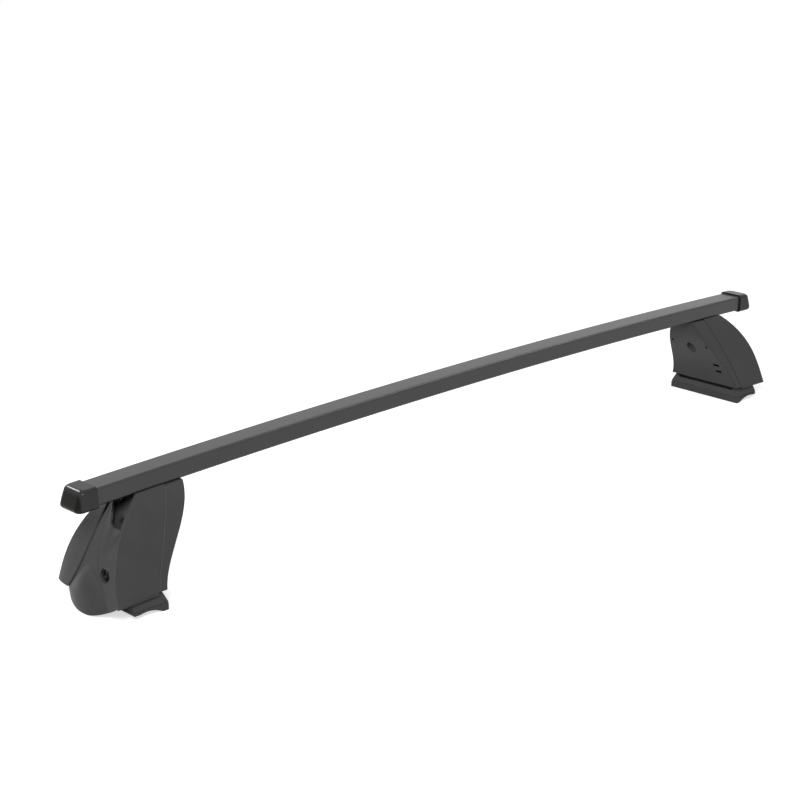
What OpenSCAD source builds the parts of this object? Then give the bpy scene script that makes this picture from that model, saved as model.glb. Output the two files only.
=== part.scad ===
// Roof rack crossbar: an arched rectangular steel tube on two moulded feet.
// X runs along the bar, Y points to the back, Z is up, and Z = 0 is the roof under the pads.
// Every foot piece is drawn for the right-hand end and mirrored for the left-hand end.

/* [Bar] */
// Length of the steel tube between its end caps
bar_len = 1100; // [1000:10:1300]
// Width of the tube
bar_w = 30; // [28:0.5:33]
// Height of the tube
bar_h = 20; // [18:0.5:24]
// Wall of the tube
bar_wall = 1.5; // [1.2:0.1:2.2]
// Outer corner radius of the tube
bar_corner_r = 2.6; // [2.3:0.1:3.2]
// Rise of the arch between the tube's ends and its middle
bar_rise = 9.7; // [6:0.1:14]
// Height of the tube's top above the roof at mid span
bar_top = 146; // [140:1:156]

/* [End caps] */
// Length of the cap's head past the end of the tube, at its belly
cap_head_len = 26.5; // [22:0.5:30]
// How much shorter the head is at its top
cap_lean = 8; // [4:0.5:10]
// Depth of the head's longest point below the bar's axis
cap_belly = 7; // [5:0.5:8]
// How far the head stands proud of the tube all round
cap_proud = 2.2; // [1.5:0.1:3]
// Wall of the moulded cap
cap_wall = 2.4; // [1.6:0.1:3]
// Length of the spigot inside the tube
cap_spigot_len = 26; // [16:1:40]
// Clearance of the spigot in the tube
cap_fit = 0.1; // [0.05:0.05:0.2]
// Corner radius of the head's section
cap_corner_r = 4; // [3.6:0.2:5]
// Corner radius of the head seen from above
cap_plan_r = 6; // [4:0.5:8]
// Bevel along the top of the head's end face
cap_bevel = 2.4; // [1.5:0.1:3]
// Rounding under the head's end face
cap_under_r = 6; // [4:0.5:8]

/* [Foot outline] */
// Distance of the clamp bolt from the end of the tube
foot_inset = 85; // [75:1:100]
// Inner face, distance from the clamp bolt: four control values from the bar down to the skirt
inner_curve = [-23.5, -19.5, 27, 31.5]; // [-30:0.5:40]
// Inner edge of the housing's side panels, in the same way
panel_curve = [1, 15, 32.5, 43.5]; // [0:0.5:50]
// Outer rim of the housing, in the same way
rim_curve = [38, 84.5, 92.5, 95.5]; // [30:0.5:100]
// Half width of the foot, in the same way
width_curve = [17.5, 38, 45.5, 57.5]; // [16:0.5:62]
// Edge of the wing beside the lock cover, measured back from the bar's axis
wing_curve = [17, -1, 5, 31.5]; // [-4:0.5:34]
// Crease between the cover's tongue and its lock side, measured back from the bar's axis
crease_curve = [15, -8, -8, -34]; // [-36:0.5:18]
// Height of the housing's lower edge at its rim
skirt_h = 18; // [16:0.5:20]
// Height of the housing's lower edge at its inner side
skirt_inner_h = 22; // [20:0.5:24]
// How far the wing sweeps in towards the back corner
wing_sweep = 9; // [6:0.5:10]

/* [Foot body] */
// Height of the body's base
base_h = 22; // [21:0.5:24]
// Thickness of the body's floor
floor_t = 6; // [5:0.5:8]
// Thickness of the saddle under the bar
saddle_t = 8; // [7:0.5:10]
// Wall of the body's slanted inner face, measured along the bar
inner_wall = 3.5; // [3:0.1:4.5]
// Wall of the body's sides
side_wall = 3; // [2.4:0.1:3.6]
// Distance of each rib from the bar's axis
rib_y = 13; // [12.5:0.1:14]
// Thickness of a rib
rib_t = 2.5; // [2:0.1:3]
// Softened vertical edges of the inner face
edge_soft = 1.2; // [0.8:0.1:2]
// Diameter of the tool bore below the clamp bolt
tool_bore_d = 13; // [12.5:0.1:14]
// Wall around the tool bore
tool_bore_wall = 3; // [2.5:0.1:4]
// Diameter of the two small moulded holes in the inner face
pin_hole_d = 3.6; // [3:0.1:4]
// Distance of each small hole from the bar's axis
pin_hole_y = 28.7; // [27:0.1:29]
// Height of the small holes
pin_hole_h = 83.4; // [80:0.1:86]
// Length of the two slots behind the lock
slot_len = 10; // [8:0.5:11]
// Height of each slot
slot_h = 3.6; // [3:0.1:4]
// Spacing of the slots
slot_pitch = 10.5; // [9:0.1:12]
// How far the slots lie in front of the lock's axis
slot_shift = 2.4; // [1:0.1:4]

/* [Housing] */
// Wall of the housing's side panels and wing
shell_t = 2.8; // [2.4:0.1:3.2]
// Depth of the web behind the lock cover, from the rim
web_depth = 16; // [15.5:0.1:18]
// Thickness of the web
web_t = 2.5; // [2:0.1:3]
// Clearance between the housing and the body
shell_gap = 0.2; // [0.1:0.05:0.4]
// Room below the cam in the web's lock window
lock_window_low = 1.5; // [1:0.5:3]
// Room above the barrel in that window, for the cover's swing
lock_window_high = 8; // [6:0.5:10]
// Half width of the web's window over the roof screw
window_half_w = 11; // [9.5:0.5:11.5]
// Height of the top of that window
window_top_h = 78; // [70:1:82]
// Screw that holds the housing: shank diameter
housing_screw_d = 3; // [2.5:0.1:3.5]
// Length of that screw
housing_screw_len = 14; // [10:0.5:16]
// Height of the housing screws
housing_screw_h = 92; // [88:0.5:94]

/* [Lock cover] */
// How far the cover lies below the rim and the wing
cover_step = 1.2; // [0.8:0.1:1.6]
// Thickness of the cover
cover_t = 2.8; // [2.2:0.1:3]
// Clearance between the cover and the edges around it
cover_gap = 0.6; // [0.5:0.05:0.9]
// Inset of the cover's inner edges, which lets it swing clear
cover_draft = 1.8; // [1.6:0.1:2.4]
// Extra step down from the crease to the lock side
crease_step = 0.8; // [0.4:0.1:1.2]
// Depth of the hollow beside the neck
scoop_depth = 8.5; // [6:0.5:9]
// Drop of the lock side's upper edge below the bar
scoop_drop = 31; // [28:0.5:34]
// Height of the hollow, down from that edge
scoop_h = 30; // [26:1:34]
// Height over which that edge sweeps up to the neck
scoop_sweep = 10; // [7:0.5:12]
// Back edge of the neck, measured back from the bar's axis
neck_back = 14; // [12:0.1:15]
// Growth of the neck's front part for each millimetre down
neck_spread = 0.56; // [0.4:0.02:0.7]
// Width of the neck's front part at the hinge
neck_lip = 0.9; // [0.6:0.1:1.5]
// Wedge between the neck and the wing
neck_wedge = 1.2; // [0.8:0.1:2]
// Drop of the neck's top below the bar
neck_drop = 5.5; // [5:0.1:7]
// Height of the dome's rise over the tongue
dome_rise = 6.5; // [4:0.5:8]
// Half width of the dome
dome_half_w = 32; // [28:0.5:36]
// Half height of the dome
dome_half_h = 30; // [26:0.5:34]
// Centre of the dome, measured back from the bar's axis
dome_y = -6; // [-8:0.5:0]
// Height of the dome's centre
dome_h = 20; // [18:0.5:24]
// Height of the cover's lowest point
cover_low_h = 1.6; // [1:0.1:4]
// Half width of the lower edge's arc behind its lowest point
cover_arc_back = 44.5; // [40:0.5:50]
// Width of the arc before its lowest point
cover_arc_front = 44; // [40:0.5:48]
// How far the cover's lower edge curls in
cover_curl = 3.5; // [2:0.5:5]

/* [Hinge and lock] */
// Distance of the cover's hinge pin from the clamp bolt
hinge_dx = 41; // [40:0.5:42]
// Drop of the hinge pin below the bar
hinge_drop = 10; // [9.5:0.5:11]
// Diameter of the hinge pin
hinge_pin_d = 3; // [2.5:0.1:3.4]
// Radial running clearance of turning pieces
run_gap = 0.05; // [0.02:0.01:0.08]
// Wall around the hinge pin
hinge_wall = 2; // [1.8:0.1:2.4]
// Thickness of each hinge ear
ear_t = 3; // [2.5:0.1:3.2]
// Clearance beside the hinge lug
ear_gap = 0.3; // [0.2:0.05:0.4]
// Distance of the lock from the bar's axis, towards the front
lock_front = 28.6; // [28:0.1:29.4]
// Height of the lock above the floor of the foot body
lock_rise = 18.6; // [17:0.1:20]
// Diameter of the lock barrel
barrel_d = 12; // [10:0.1:12.4]
// Diameter of the lock sleeve, and of its hole in the cover
sleeve_d = 16; // [15.5:0.1:17]
// How far the sleeve lies below the cover's face
sleeve_sink = 2; // [1:0.1:3]
// How far the barrel lies below the sleeve's face
barrel_sink = 1.5; // [1:0.1:2.5]
// Length of the cam from the lock's axis
cam_reach = 13; // [12:0.1:13.4]
// Thickness of the cam
cam_t = 2.5; // [2:0.1:3]
// Clearance between the cam and the web
cam_gap = 1; // [0.6:0.1:1.4]
// Width of the key slot
key_w = 1.6; // [1.2:0.1:2]

/* [Base and pad] */
// Distance of the pad's inner edge from the clamp bolt
pad_dx = 31.5; // [30:0.5:33]
// Length of the pad along the bar
pad_len = 44; // [42:0.5:46]
// Half width of the pad
pad_half_w = 57.5; // [54:0.5:60]
// Thickness of the pad
pad_t = 9; // [7:0.5:11]
// Width of each flat land under the pad
land_w = 7; // [5:0.5:9]
// Rise of the hollow between the lands
land_rise = 3; // [2:0.5:4]
// Height of the pad's outer land above its inner one
land_step = 5; // [3:0.5:5.5]
// Set-in of the carrier's top from the pad's edge
ledge_set = 5; // [3:0.5:6]
// Set-in of the carrier's top from the pad's ends
ledge_end_set = 6; // [5:0.5:9]
// Height of the groove under the body
groove_h = 5.5; // [4:0.5:6]
// Depth of that groove
groove_depth = 4; // [3:0.5:5]
// Length of the solid block at each end of the groove
groove_block = 5; // [3:0.5:8]
// Diameter of the pad's hole, which clears the roof's boss
boss_hole_d = 20; // [18:0.5:22]

/* [Fixings] */
// Clamp bolt: shank diameter
clamp_d = 6; // [5:0.1:6.4]
// Clamp bolt: length of the shank
clamp_len = 18; // [16:0.5:20]
// Clamp bolt: head across flats
clamp_head_af = 10; // [9:0.1:10.4]
// Clamp bolt: head height
clamp_head_h = 4; // [3:0.5:5]
// Washer thickness
washer_t = 1.2; // [0.8:0.1:1.6]
// Nut plate inside the bar: side
nut_plate_w = 24; // [20:0.5:24.5]
// Nut plate inside the bar: thickness
nut_plate_t = 5; // [4:0.5:6]
// Travel of the foot each way along the bar
foot_travel = 15; // [5:1:16]
// Roof screw: thread diameter
roof_screw_d = 8; // [7:0.1:8.4]
// Roof screw: diameter of the waisted shank that keeps it captive
roof_waist_d = 6.6; // [6:0.1:7]
// Roof screw: length of the thread
roof_thread_len = 15; // [12:0.5:15]
// Roof screw: head across flats
roof_head_af = 13; // [11:0.1:13]
// Roof screw: head height
roof_head_h = 5.3; // [4:0.1:7]
// Height of the roof screw's tip above the roof when it is drawn up
roof_tip_h = 1.5; // [1:0.1:4]
// Steel plate under the roof screw: thickness
plate_t = 4; // [3:0.5:5]
// Radial clearance of a screw in its hole
hole_gap = 0.4; // [0.2:0.05:0.6]
// Clearance between the bar and the foot that slides on it
slide_gap = 0.3; // [0.2:0.05:0.4]

/* [Hidden] */
$fn = 48;
SIDE_NODES = [
    "foot_body", "side_housing", "lock_cover", "cover_hinge_pin", "lock_sleeve", "lock_barrel", "lock_cam",
    "base_carrier", "roof_pad", "steel_plate", "roof_screw", "roof_washer", "clamp_bolt", "clamp_washer",
    "nut_plate", "housing_screws"
];
SIDES = ["left", "right"];

black_steel = [0.17, 0.17, 0.18];
black_plastic = [0.2, 0.2, 0.21];
gloss_black = [0.08, 0.08, 0.08];
black_rubber = [0.12, 0.12, 0.12];
zinc = [0.62, 0.63, 0.65];
eps = 0.01;
cut = 1;

// Arch of the bar, as the radius of its top surface
arch_r = (pow(bar_len / 2, 2) + pow(bar_rise, 2)) / (2 * bar_rise);
bar_stations = 24;
corner_steps = 4;
round_steps = 4;

// Heights on the foot
foot_x = bar_len / 2 - foot_inset;
function under_bar(x) = bar_top - arch_r + sqrt(pow(arch_r - bar_h, 2) - x * x);
foot_top = under_bar(foot_x);
curve_rows = 14;
saddle_h = foot_top - slide_gap - saddle_t;
floor_top = base_h + floor_t;
lock_h = floor_top + lock_rise;
hinge_h = foot_top - hinge_drop;
hinge_x = foot_x + hinge_dx;
neck_top_h = foot_top - neck_drop;
scoop_top_h = foot_top - scoop_drop;
step_rows = 4;

// A smooth curve down the foot through four control values
function bezier(c, t) =
    c[0] * pow(1 - t, 3) + 3 * c[1] * t * pow(1 - t, 2) + 3 * c[2] * pow(t, 2) * (1 - t) + c[3] * pow(t, 3);
function drop(h) = (foot_top - max(h, skirt_h)) / (foot_top - skirt_h);
function inner_x(h) = foot_x + bezier(inner_curve, drop(h));
function panel_x(h) = foot_x + bezier(panel_curve, drop(h));
function rim_x(h) = foot_x + bezier(rim_curve, drop(h));
function half_w(h) = bezier(width_curve, drop(h));
function wing_y(h) = bezier(wing_curve, drop(h));
function crease_y(h) = bezier(crease_curve, drop(h));
function web_x(h) = rim_x(h) - web_depth;
function body_x(h) = web_x(h) - web_t - shell_gap;
function smooth(a, b, v) = let (s = min(1, max(0, (v - a) / (b - a)))) s * s * (3 - 2 * s);
function mix(a, b, s) = a + (b - a) * s;

// Heights of the rows of a foot piece, from low to high
function rows_between(low, high, count) = [for (i = [0:count]) mix(low, high, i / count)];
shell_rows = rows_between(skirt_h, foot_top, curve_rows);
body_rows = concat([base_h], [for (h = shell_rows) if (h > base_h + cut) h]);

// The top row follows the bar, and the housing's bottom row its slanted lower edge
function skirt_z(x) = mix(skirt_inner_h, skirt_h, (x - panel_x(skirt_h)) / (rim_x(skirt_h) - panel_x(skirt_h)));
function seat_z(h, x) = h >= foot_top ? under_bar(x) - slide_gap : h;

// Solid between rows of one closed outline each, drawn anticlockwise from above and stacked upwards.
// end_tris lists triangles, by corner number, that fill one outline.
module loft(rows, end_tris) {
    n = len(rows[0]);
    last = (len(rows) - 1) * n;
    polyhedron(
        points = [for (row = rows, p = row) p],
        faces = concat(
            [for (i = [0:len(rows) - 2], j = [0:n - 1])
                let (a = i * n + j, b = i * n + (j + 1) % n) each [[a, a + n, b + n], [a, b + n, b]]],
            end_tris,
            [for (f = end_tris) [last + f[2], last + f[1], last + f[0]]]
        )
    );
}

// End triangles for a convex outline
function fan(n) = [for (i = [1:n - 2]) [0, i, i + 1]];
// End triangles for a ribbon: count points along the outer path, then back along the inner one
function ribbon(count) = [for (j = [0:count - 2])
    let (k = 2 * count - 1 - j) each [[j, j + 1, k - 1], [j, k - 1, k]]];

// Places children on the bar: X along its tangent, Z up from its top surface
module on_bar(x) {
    translate([0, 0, bar_top - arch_r])
        rotate([0, asin(x / arch_r), 0])
            translate([0, 0, arch_r])
                children();
}

// Mirrors the right-hand foot for the left-hand end
module on_side(side) {
    mirror([side == "left" ? 1 : 0, 0, 0])
        children();
}

// Bar and end caps

function rounded_outline(w, h, r) = [for (q = [0:3], k = [0:corner_steps])
    let (a = 90 * q + 90 * k / corner_steps - 90, sx = q == 0 || q == 1 ? 1 : -1, sy = q == 1 || q == 2 ? 1 : -1)
    [sx * (w / 2 - r) + r * cos(a), sy * (h / 2 - r) + r * sin(a)]];

// One station of the bar, as points on a plane square to the arch
function bar_station(angle, outline) = [for (p = outline)
    let (radius = arch_r - bar_h / 2 + p[1])
    [radius * sin(angle), p[0], bar_top - arch_r + radius * cos(angle)]];

module bar_sweep(w, h, r, end_angle) {
    outline = rounded_outline(w, h, r);
    loft(
        [for (i = [0:bar_stations]) bar_station(mix(-end_angle, end_angle, i / bar_stations), outline)],
        fan(len(outline))
    );
}

module crossbar_tube() {
    end_angle = asin(bar_len / 2 / arch_r);
    slot_half = foot_travel + cut / 2;
    color(black_steel)
        difference() {
            bar_sweep(bar_w, bar_h, bar_corner_r, end_angle);
            bar_sweep(bar_w - 2 * bar_wall, bar_h - 2 * bar_wall, bar_corner_r - bar_wall, 1.01 * end_angle);
            for (s = [-1, 1])
                on_bar(s * foot_x)
                    translate([0, 0, -bar_h - cut])
                        bolt_slot(slot_half, bar_wall + 2 * cut);
        }
}

// Long hole in the underside of the tube, in which the clamp bolt slides
module bolt_slot(half, h) {
    slot_r = clamp_d / 2 + hole_gap;
    for (s = [-1, 1])
        translate([s * half, 0, 0])
            cylinder(r = slot_r, h = h);
    translate([-half, -slot_r, 0])
        cube([2 * half, 2 * slot_r, h]);
}

// Reach of the cap's end face at a height above the bar's axis
function cap_end(z, top) =
    let (
        up = max(0, (z + cap_belly) / (top + cap_belly)), down = max(0, (-cap_belly - z) / (top - cap_belly)),
        bevel = max(0, 1 + (z - top) / cap_bevel)
    )
    cap_head_len - cap_lean * pow(up, 1.2) - cap_under_r * (1 - sqrt(1 - down * down))
    - cap_bevel * (1 - sqrt(1 - bevel * bevel));
function cap_half(z, top) =
    let (t = max(0, 1 + (abs(z) - top) / cap_corner_r))
    bar_w / 2 + cap_proud - cap_corner_r * (1 - sqrt(max(0, 1 - t * t)));
// One level of the cap's head, seen from above
function cap_row(z, top) =
    let (x = cap_end(z, top), w = cap_half(z, top), r = cap_plan_r)
    concat(
        [[0, -w, z]],
        [for (k = [0:round_steps]) let (a = 90 * k / round_steps) [x - r + r * sin(a), r - w - r * cos(a), z]],
        [for (k = [0:round_steps]) let (a = 90 * k / round_steps) [x - r + r * cos(a), w - r + r * sin(a), z]],
        [[0, w, z]]
    );

module cap_head() {
    top = bar_h / 2 + cap_proud;
    c = cap_corner_r;
    levels = concat(
        [for (k = [0:round_steps]) -top + c - c * cos(90 * k / round_steps)],
        rows_between(-cap_belly, top - c - cut, 3),
        [for (k = [0:round_steps]) top - c + c * sin(90 * k / round_steps)]
    );
    rows = [for (z = levels) cap_row(z, top)];
    loft(rows, fan(len(rows[0])));
}

module end_cap() {
    spigot_w = bar_w - 2 * bar_wall - 2 * cap_fit;
    spigot_h = bar_h - 2 * bar_wall - 2 * cap_fit;
    color(gloss_black)
        on_bar(bar_len / 2)
            translate([0, 0, -bar_h / 2])
                difference() {
                    union() {
                        cap_head();
                        translate([-cap_spigot_len, -spigot_w / 2, -spigot_h / 2])
                            cube([cap_spigot_len + cap_wall, spigot_w, spigot_h]);
                    }
                    translate([-cap_spigot_len - cut, cap_wall - spigot_w / 2, cap_wall - spigot_h / 2])
                        cube([cap_spigot_len + cut + cap_head_len - cap_lean - 2 * cap_wall,
                            spigot_w - 2 * cap_wall, spigot_h - 2 * cap_wall]);
                    // Relieved corners of the spigot clear the tube's inside corners
                    for (y = [-1, 1], z = [-1, 1])
                        translate([-cap_spigot_len - cut, y * spigot_w / 2, z * spigot_h / 2])
                            rotate([0, 90, 0])
                                cylinder(r = bar_corner_r - bar_wall + eps, h = cap_spigot_len + cut);
                }
}

// Foot body

function body_row(h) =
    let (xi = inner_x(h), xp = panel_x(h) - shell_gap, xo = body_x(h), w = half_w(h), n = w - shell_t - shell_gap)
    [for (p = [
        [xi, -w + edge_soft], [xi + edge_soft, -w], [xp, -w], [xp, -n], [xo, -n],
        [xo, n], [xp, n], [xp, w], [xi + edge_soft, w], [xi, w - edge_soft]
    ]) [p[0], p[1], seat_z(h, p[0])]];

// One pocket of the body between two distances from the bar's axis, as functions of the height
function pocket_row(h, y0, y1, x_min) =
    let (xi = max(inner_x(h) + inner_wall, x_min), xo = body_x(h) + cut)
    [[xi, y0, h], [xo, y0, h], [xo, y1, h], [xi, y1, h]];
function side_inner_y(h) = half_w(h) - shell_t - shell_gap - side_wall;

module body_pockets() {
    heights = rows_between(floor_top, saddle_h, curve_rows);
    rib_out = rib_y + rib_t / 2;
    rib_in = rib_y - rib_t / 2;
    tower_x = foot_x + tool_bore_d / 2 + tool_bore_wall;
    side_heights = [for (h = heights) if (side_inner_y(h) > rib_out + cut) h];
    loft([for (h = heights) pocket_row(h, -rib_in, rib_in, tower_x)], fan(4));
    loft([for (h = side_heights) pocket_row(h, -side_inner_y(h), -rib_out, 0)], fan(4));
    loft([for (h = side_heights) pocket_row(h, rib_out, side_inner_y(h), 0)], fan(4));
}

// Places children at both housing screws: Z out along the web's normal, from its outer face
module at_housing_screws() {
    lean = atan((web_x(housing_screw_h - 1) - web_x(housing_screw_h + 1)) / 2);
    for (y = [-rib_y, rib_y])
        translate([web_x(housing_screw_h), y, housing_screw_h])
            rotate([0, 90 - lean, 0])
                children();
}

// Bosses on the ribs that take the housing screws
module screw_bosses() {
    at_housing_screws()
        translate([0, 0, -housing_screw_len])
            cylinder(d = 2 * housing_screw_d, h = housing_screw_len - web_t - cut);
}

module tool_bore() {
    on_bar(foot_x) {
        translate([0, 0, -bar_h - slide_gap - saddle_t - foot_top])
            cylinder(d = tool_bore_d, h = foot_top);
        translate([0, 0, -bar_h - slide_gap - saddle_t - cut])
            cylinder(r = clamp_d / 2 + hole_gap, h = saddle_t + 2 * cut);
    }
}

module inner_face_holes() {
    for (y = [-1, 1])
        translate([inner_x(pin_hole_h) - inner_wall, y * pin_hole_y, pin_hole_h])
            rotate([0, 90, 0])
                cylinder(d = pin_hole_d, h = 3 * inner_wall);
    for (z = [0, -slot_pitch])
        translate([inner_x(lock_h) - 3 * inner_wall, -lock_front - slot_shift - slot_len / 2,
            lock_h + slot_pitch / 2 + z])
            cube([6 * inner_wall, slot_len, slot_h]);
}

module foot_body() {
    color(black_plastic)
        difference() {
            union() {
                difference() {
                    loft([for (h = body_rows) body_row(h)],
                        [[0, 1, 2], [0, 2, 3], [0, 3, 6], [0, 6, 9], [6, 7, 8], [6, 8, 9], [3, 4, 5], [3, 5, 6]]);
                    body_pockets();
                }
                screw_bosses();
            }
            tool_bore();
            inner_face_holes();
            translate([pad_mid_x, 0, 0])
                cylinder(r = roof_screw_d / 2 + hole_gap, h = floor_top + cut);
            at_housing_screws()
                translate([0, 0, -housing_screw_len - cut])
                    cylinder(d = housing_screw_d, h = housing_screw_len + cut);
        }
}

// Housing: side panels, rim, wing and the web behind the lock cover

function housing_row(h) =
    let (
        w = half_w(h), xe = panel_x(h), xr = rim_x(h), xw = web_x(h), s = wing_sweep * drop(h),
        wy = min(wing_y(h), w - 2 * shell_t), i = w - shell_t, soft = edge_soft / 2
    )
    [for (p = [
        [xe, -w], [xr - edge_soft, -w], [xr, -w + edge_soft], [xr - soft, -i], [xw, -i],
        [xw, i], [xr - s - shell_t, i], [xr - shell_t, wy], [xr, wy], [xr - s / 4, mix(wy, w, 0.55)],
        [xr - s, w - edge_soft], [xr - s - edge_soft, w], [xe, w], [xe, i], [xw - web_t, i],
        [xw - web_t, -i], [xe, -i]
    ]) [p[0], p[1], h <= skirt_h ? skirt_z(p[0]) : seat_z(h, p[0])]];

HOUSING_ENDS = [
    [0, 1, 2], [0, 2, 3], [0, 3, 4], [0, 4, 15], [0, 15, 16], [15, 4, 5], [15, 5, 14],
    [12, 13, 14], [12, 14, 5], [12, 5, 6], [12, 6, 10], [12, 10, 11], [7, 8, 9], [7, 9, 10], [7, 10, 6]
];

module hinge_ears() {
    ear_r = hinge_pin_d / 2 + hinge_wall;
    low = hinge_h - ear_r;
    high = hinge_h + ear_r;
    for (y = [lug_front - ear_gap - ear_t / 2, lug_back + ear_gap + ear_t / 2])
        translate([0, y, 0]) {
            translate([hinge_x, 0, hinge_h])
                rotate([90, 0, 0])
                    cylinder(r = ear_r, h = ear_t, center = true);
            along_y([
                [web_x(low) - web_t / 2, low], [hinge_x, low], [hinge_x, high], [web_x(hinge_h) - web_t / 2, hinge_h]
            ], ear_t / 2);
        }
}

// Opening in the web between two heights, which follows the web's slope
module web_window(front, back, low, high) {
    loft([for (h = rows_between(low, high, step_rows))
        let (x0 = web_x(h) - web_t - cut, x1 = web_x(h) + cut)
        [[x0, front, h], [x1, front, h], [x1, back, h], [x0, back, h]]], fan(4));
}

// One window over the roof screw and one that lets the lock and its cam pass
module web_windows() {
    lock_half = barrel_d / 2 + cover_gap;
    web_window(-window_half_w, window_half_w, floor_top, window_top_h);
    web_window(-lock_front - lock_half, -lock_front + lock_half, lock_h - cam_reach - lock_window_low,
        lock_h + barrel_d / 2 + lock_window_high);
}

module side_housing() {
    color(black_plastic)
        difference() {
            union() {
                difference() {
                    loft([for (h = shell_rows) housing_row(h)], HOUSING_ENDS);
                    web_windows();
                }
                hinge_ears();
            }
            translate([hinge_x, lug_front - ear_gap - ear_t - cut, hinge_h])
                rotate([-90, 0, 0])
                    cylinder(d = hinge_pin_d, h = lug_back - lug_front + 2 * (ear_gap + ear_t + cut));
            at_housing_screws()
                translate([0, 0, -2 * web_t])
                    cylinder(r = housing_screw_d / 2 + hole_gap, h = 4 * web_t);
        }
}

module cover_hinge_pin() {
    color(zinc)
        translate([hinge_x, lug_front - ear_gap - ear_t, hinge_h])
            rotate([-90, 0, 0])
                cylinder(d = hinge_pin_d, h = lug_back - lug_front + 2 * (ear_gap + ear_t));
}

// Lock cover: a tongue that widens from a narrow neck to a dome, and the lock side beside it

tongue_steps = 9;
lock_steps = 5;

function dome(y, h) =
    let (q = pow((y - dome_y) / dome_half_w, 2) + pow((h - dome_h) / dome_half_h, 2))
    dome_rise * pow(max(0, 1 - q), 0.7);

// Edges of the cover, measured back from the bar's axis
function neck_front(h) = crease_y(h) - neck_lip - neck_spread * max(0, hinge_h - h);
function panel_front(h) = shell_t + cover_gap * (1 + 4 * smooth(scoop_top_h - scoop_h, scoop_top_h, h)) - half_w(h);
function cover_front(h) =
    mix(panel_front(h), neck_front(h), smooth(scoop_top_h - scoop_sweep / 2, scoop_top_h + scoop_sweep / 2, h));
function cover_back(h) =
    (h > hinge_h ? min(wing_y(h), neck_back) : wing_y(h)) - cover_gap
    - neck_wedge * smooth(scoop_top_h, hinge_h, h);
lug_front = neck_front(hinge_h);
lug_back = cover_back(hinge_h);

// Depth of the lock side below the tongue; the hollow deepens upwards and towards the side panel
function scoop(y, h) =
    crease_step + scoop_depth * smooth(scoop_top_h - scoop_h, scoop_top_h, h)
    * smooth(neck_front(scoop_top_h), panel_front(scoop_top_h), y);

// Distances from the bar's axis along one row of the cover
function tongue_ys(h) = [for (k = [0:tongue_steps]) mix(crease_y(h), cover_back(h), k / tongue_steps)];
function lock_ys(h) =
    let (front = cover_front(h), crease = crease_y(h) - min(cover_step, (crease_y(h) - front) / 3))
    [for (k = [0:lock_steps]) mix(front, crease, k / lock_steps)];

// Lower edge of the cover: a round arc behind its lowest point and a flatter one before it
function cover_edge_z(y) =
    let (low_y = dome_y - 4, back = (y - low_y) / cover_arc_back, front = (low_y - y) / cover_arc_front)
    y > low_y ? mix(skirt_h, cover_low_h, sqrt(max(0, 1 - back * back)))
    : mix(cover_low_h, skirt_h, min(1, pow(front, 1.6)));

// One row of the cover: outer points from front to back, then inner points from back to front.
// low is 0 above the skirt and runs to 1 at the lower edge.
function cover_row(h, low) =
    let (
        sides = lock_ys(h),
        ys = concat(sides, tongue_ys(h)),
        n = len(ys),
        zs = [for (y = ys) mix(h, cover_edge_z(y), low)],
        face = rim_x(h) - cover_step - cover_curl * low * low,
        xs = [for (j = [0:n - 1]) face + (j < len(sides) ? -scoop(ys[j], h) : dome(ys[j], zs[j]))],
        draft = cover_draft * (1 - smooth(scoop_top_h, scoop_top_h + scoop_sweep, h))
    )
    concat(
        [for (j = [0:n - 1]) [xs[j], ys[j], zs[j]]],
        [for (j = [n - 1:-1:0]) [
            xs[j] - cover_t, min(max(ys[j], ys[0] + draft), ys[n - 1] - draft), zs[j] + low * edge_soft
        ]]
    );

module cover_shell() {
    sweep_low = scoop_top_h - scoop_sweep / 2;
    heights = concat(
        rows_between(skirt_h, sweep_low, curve_rows - 3),
        [for (k = [1:step_rows + 1]) sweep_low + scoop_sweep * k / (step_rows + 1)],
        [for (k = [1:step_rows]) mix(sweep_low + scoop_sweep, neck_top_h, k / step_rows)]
    );
    loft(concat(
        [for (k = [step_rows:-1:1]) cover_row(skirt_h, k / step_rows)],
        [for (h = heights) cover_row(h, 0)]
    ), ribbon(tongue_steps + lock_steps + 2));
}

module hinge_lug() {
    lug_r = hinge_pin_d / 2 + hinge_wall;
    translate([hinge_x, lug_front, hinge_h])
        rotate([-90, 0, 0])
            cylinder(r = lug_r, h = lug_back - lug_front);
    translate([hinge_x, lug_front, hinge_h - lug_r])
        cube([rim_x(hinge_h) - cover_step - cover_t / 2 - hinge_x, lug_back - lug_front, 2 * lug_r]);
}

lock_face_x = rim_x(lock_h) - cover_step - crease_step;
sleeve_x = lock_face_x - sleeve_sink;
barrel_x = sleeve_x - barrel_sink;
cam_w = 0.72 * barrel_d;
cam_x = web_x(lock_h + cam_w / 2) - web_t - cam_gap - cam_t;
boss_r = sleeve_d / 2 + cover_t;
boss_x = web_x(lock_h - boss_r) + cam_gap;

module on_lock(x) {
    translate([x, -lock_front, lock_h])
        rotate([0, 90, 0])
            children();
}

module lock_cover() {
    color(black_plastic)
        difference() {
            union() {
                cover_shell();
                hinge_lug();
                on_lock(boss_x)
                    cylinder(r = boss_r, h = lock_face_x - cover_t - boss_x + cut / 2);
            }
            on_lock(boss_x - cut)
                cylinder(d = sleeve_d, h = lock_face_x - boss_x + dome_rise);
            translate([hinge_x, lug_front - cut, hinge_h])
                rotate([-90, 0, 0])
                    cylinder(r = hinge_pin_d / 2 + run_gap, h = lug_back - lug_front + 2 * cut);
        }
}

module lock_sleeve() {
    color(zinc)
        difference() {
            on_lock(boss_x)
                cylinder(d = sleeve_d, h = sleeve_x - boss_x);
            on_lock(boss_x - cut)
                cylinder(r = barrel_d / 2 + run_gap, h = sleeve_x - boss_x + 2 * cut);
        }
}

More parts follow.
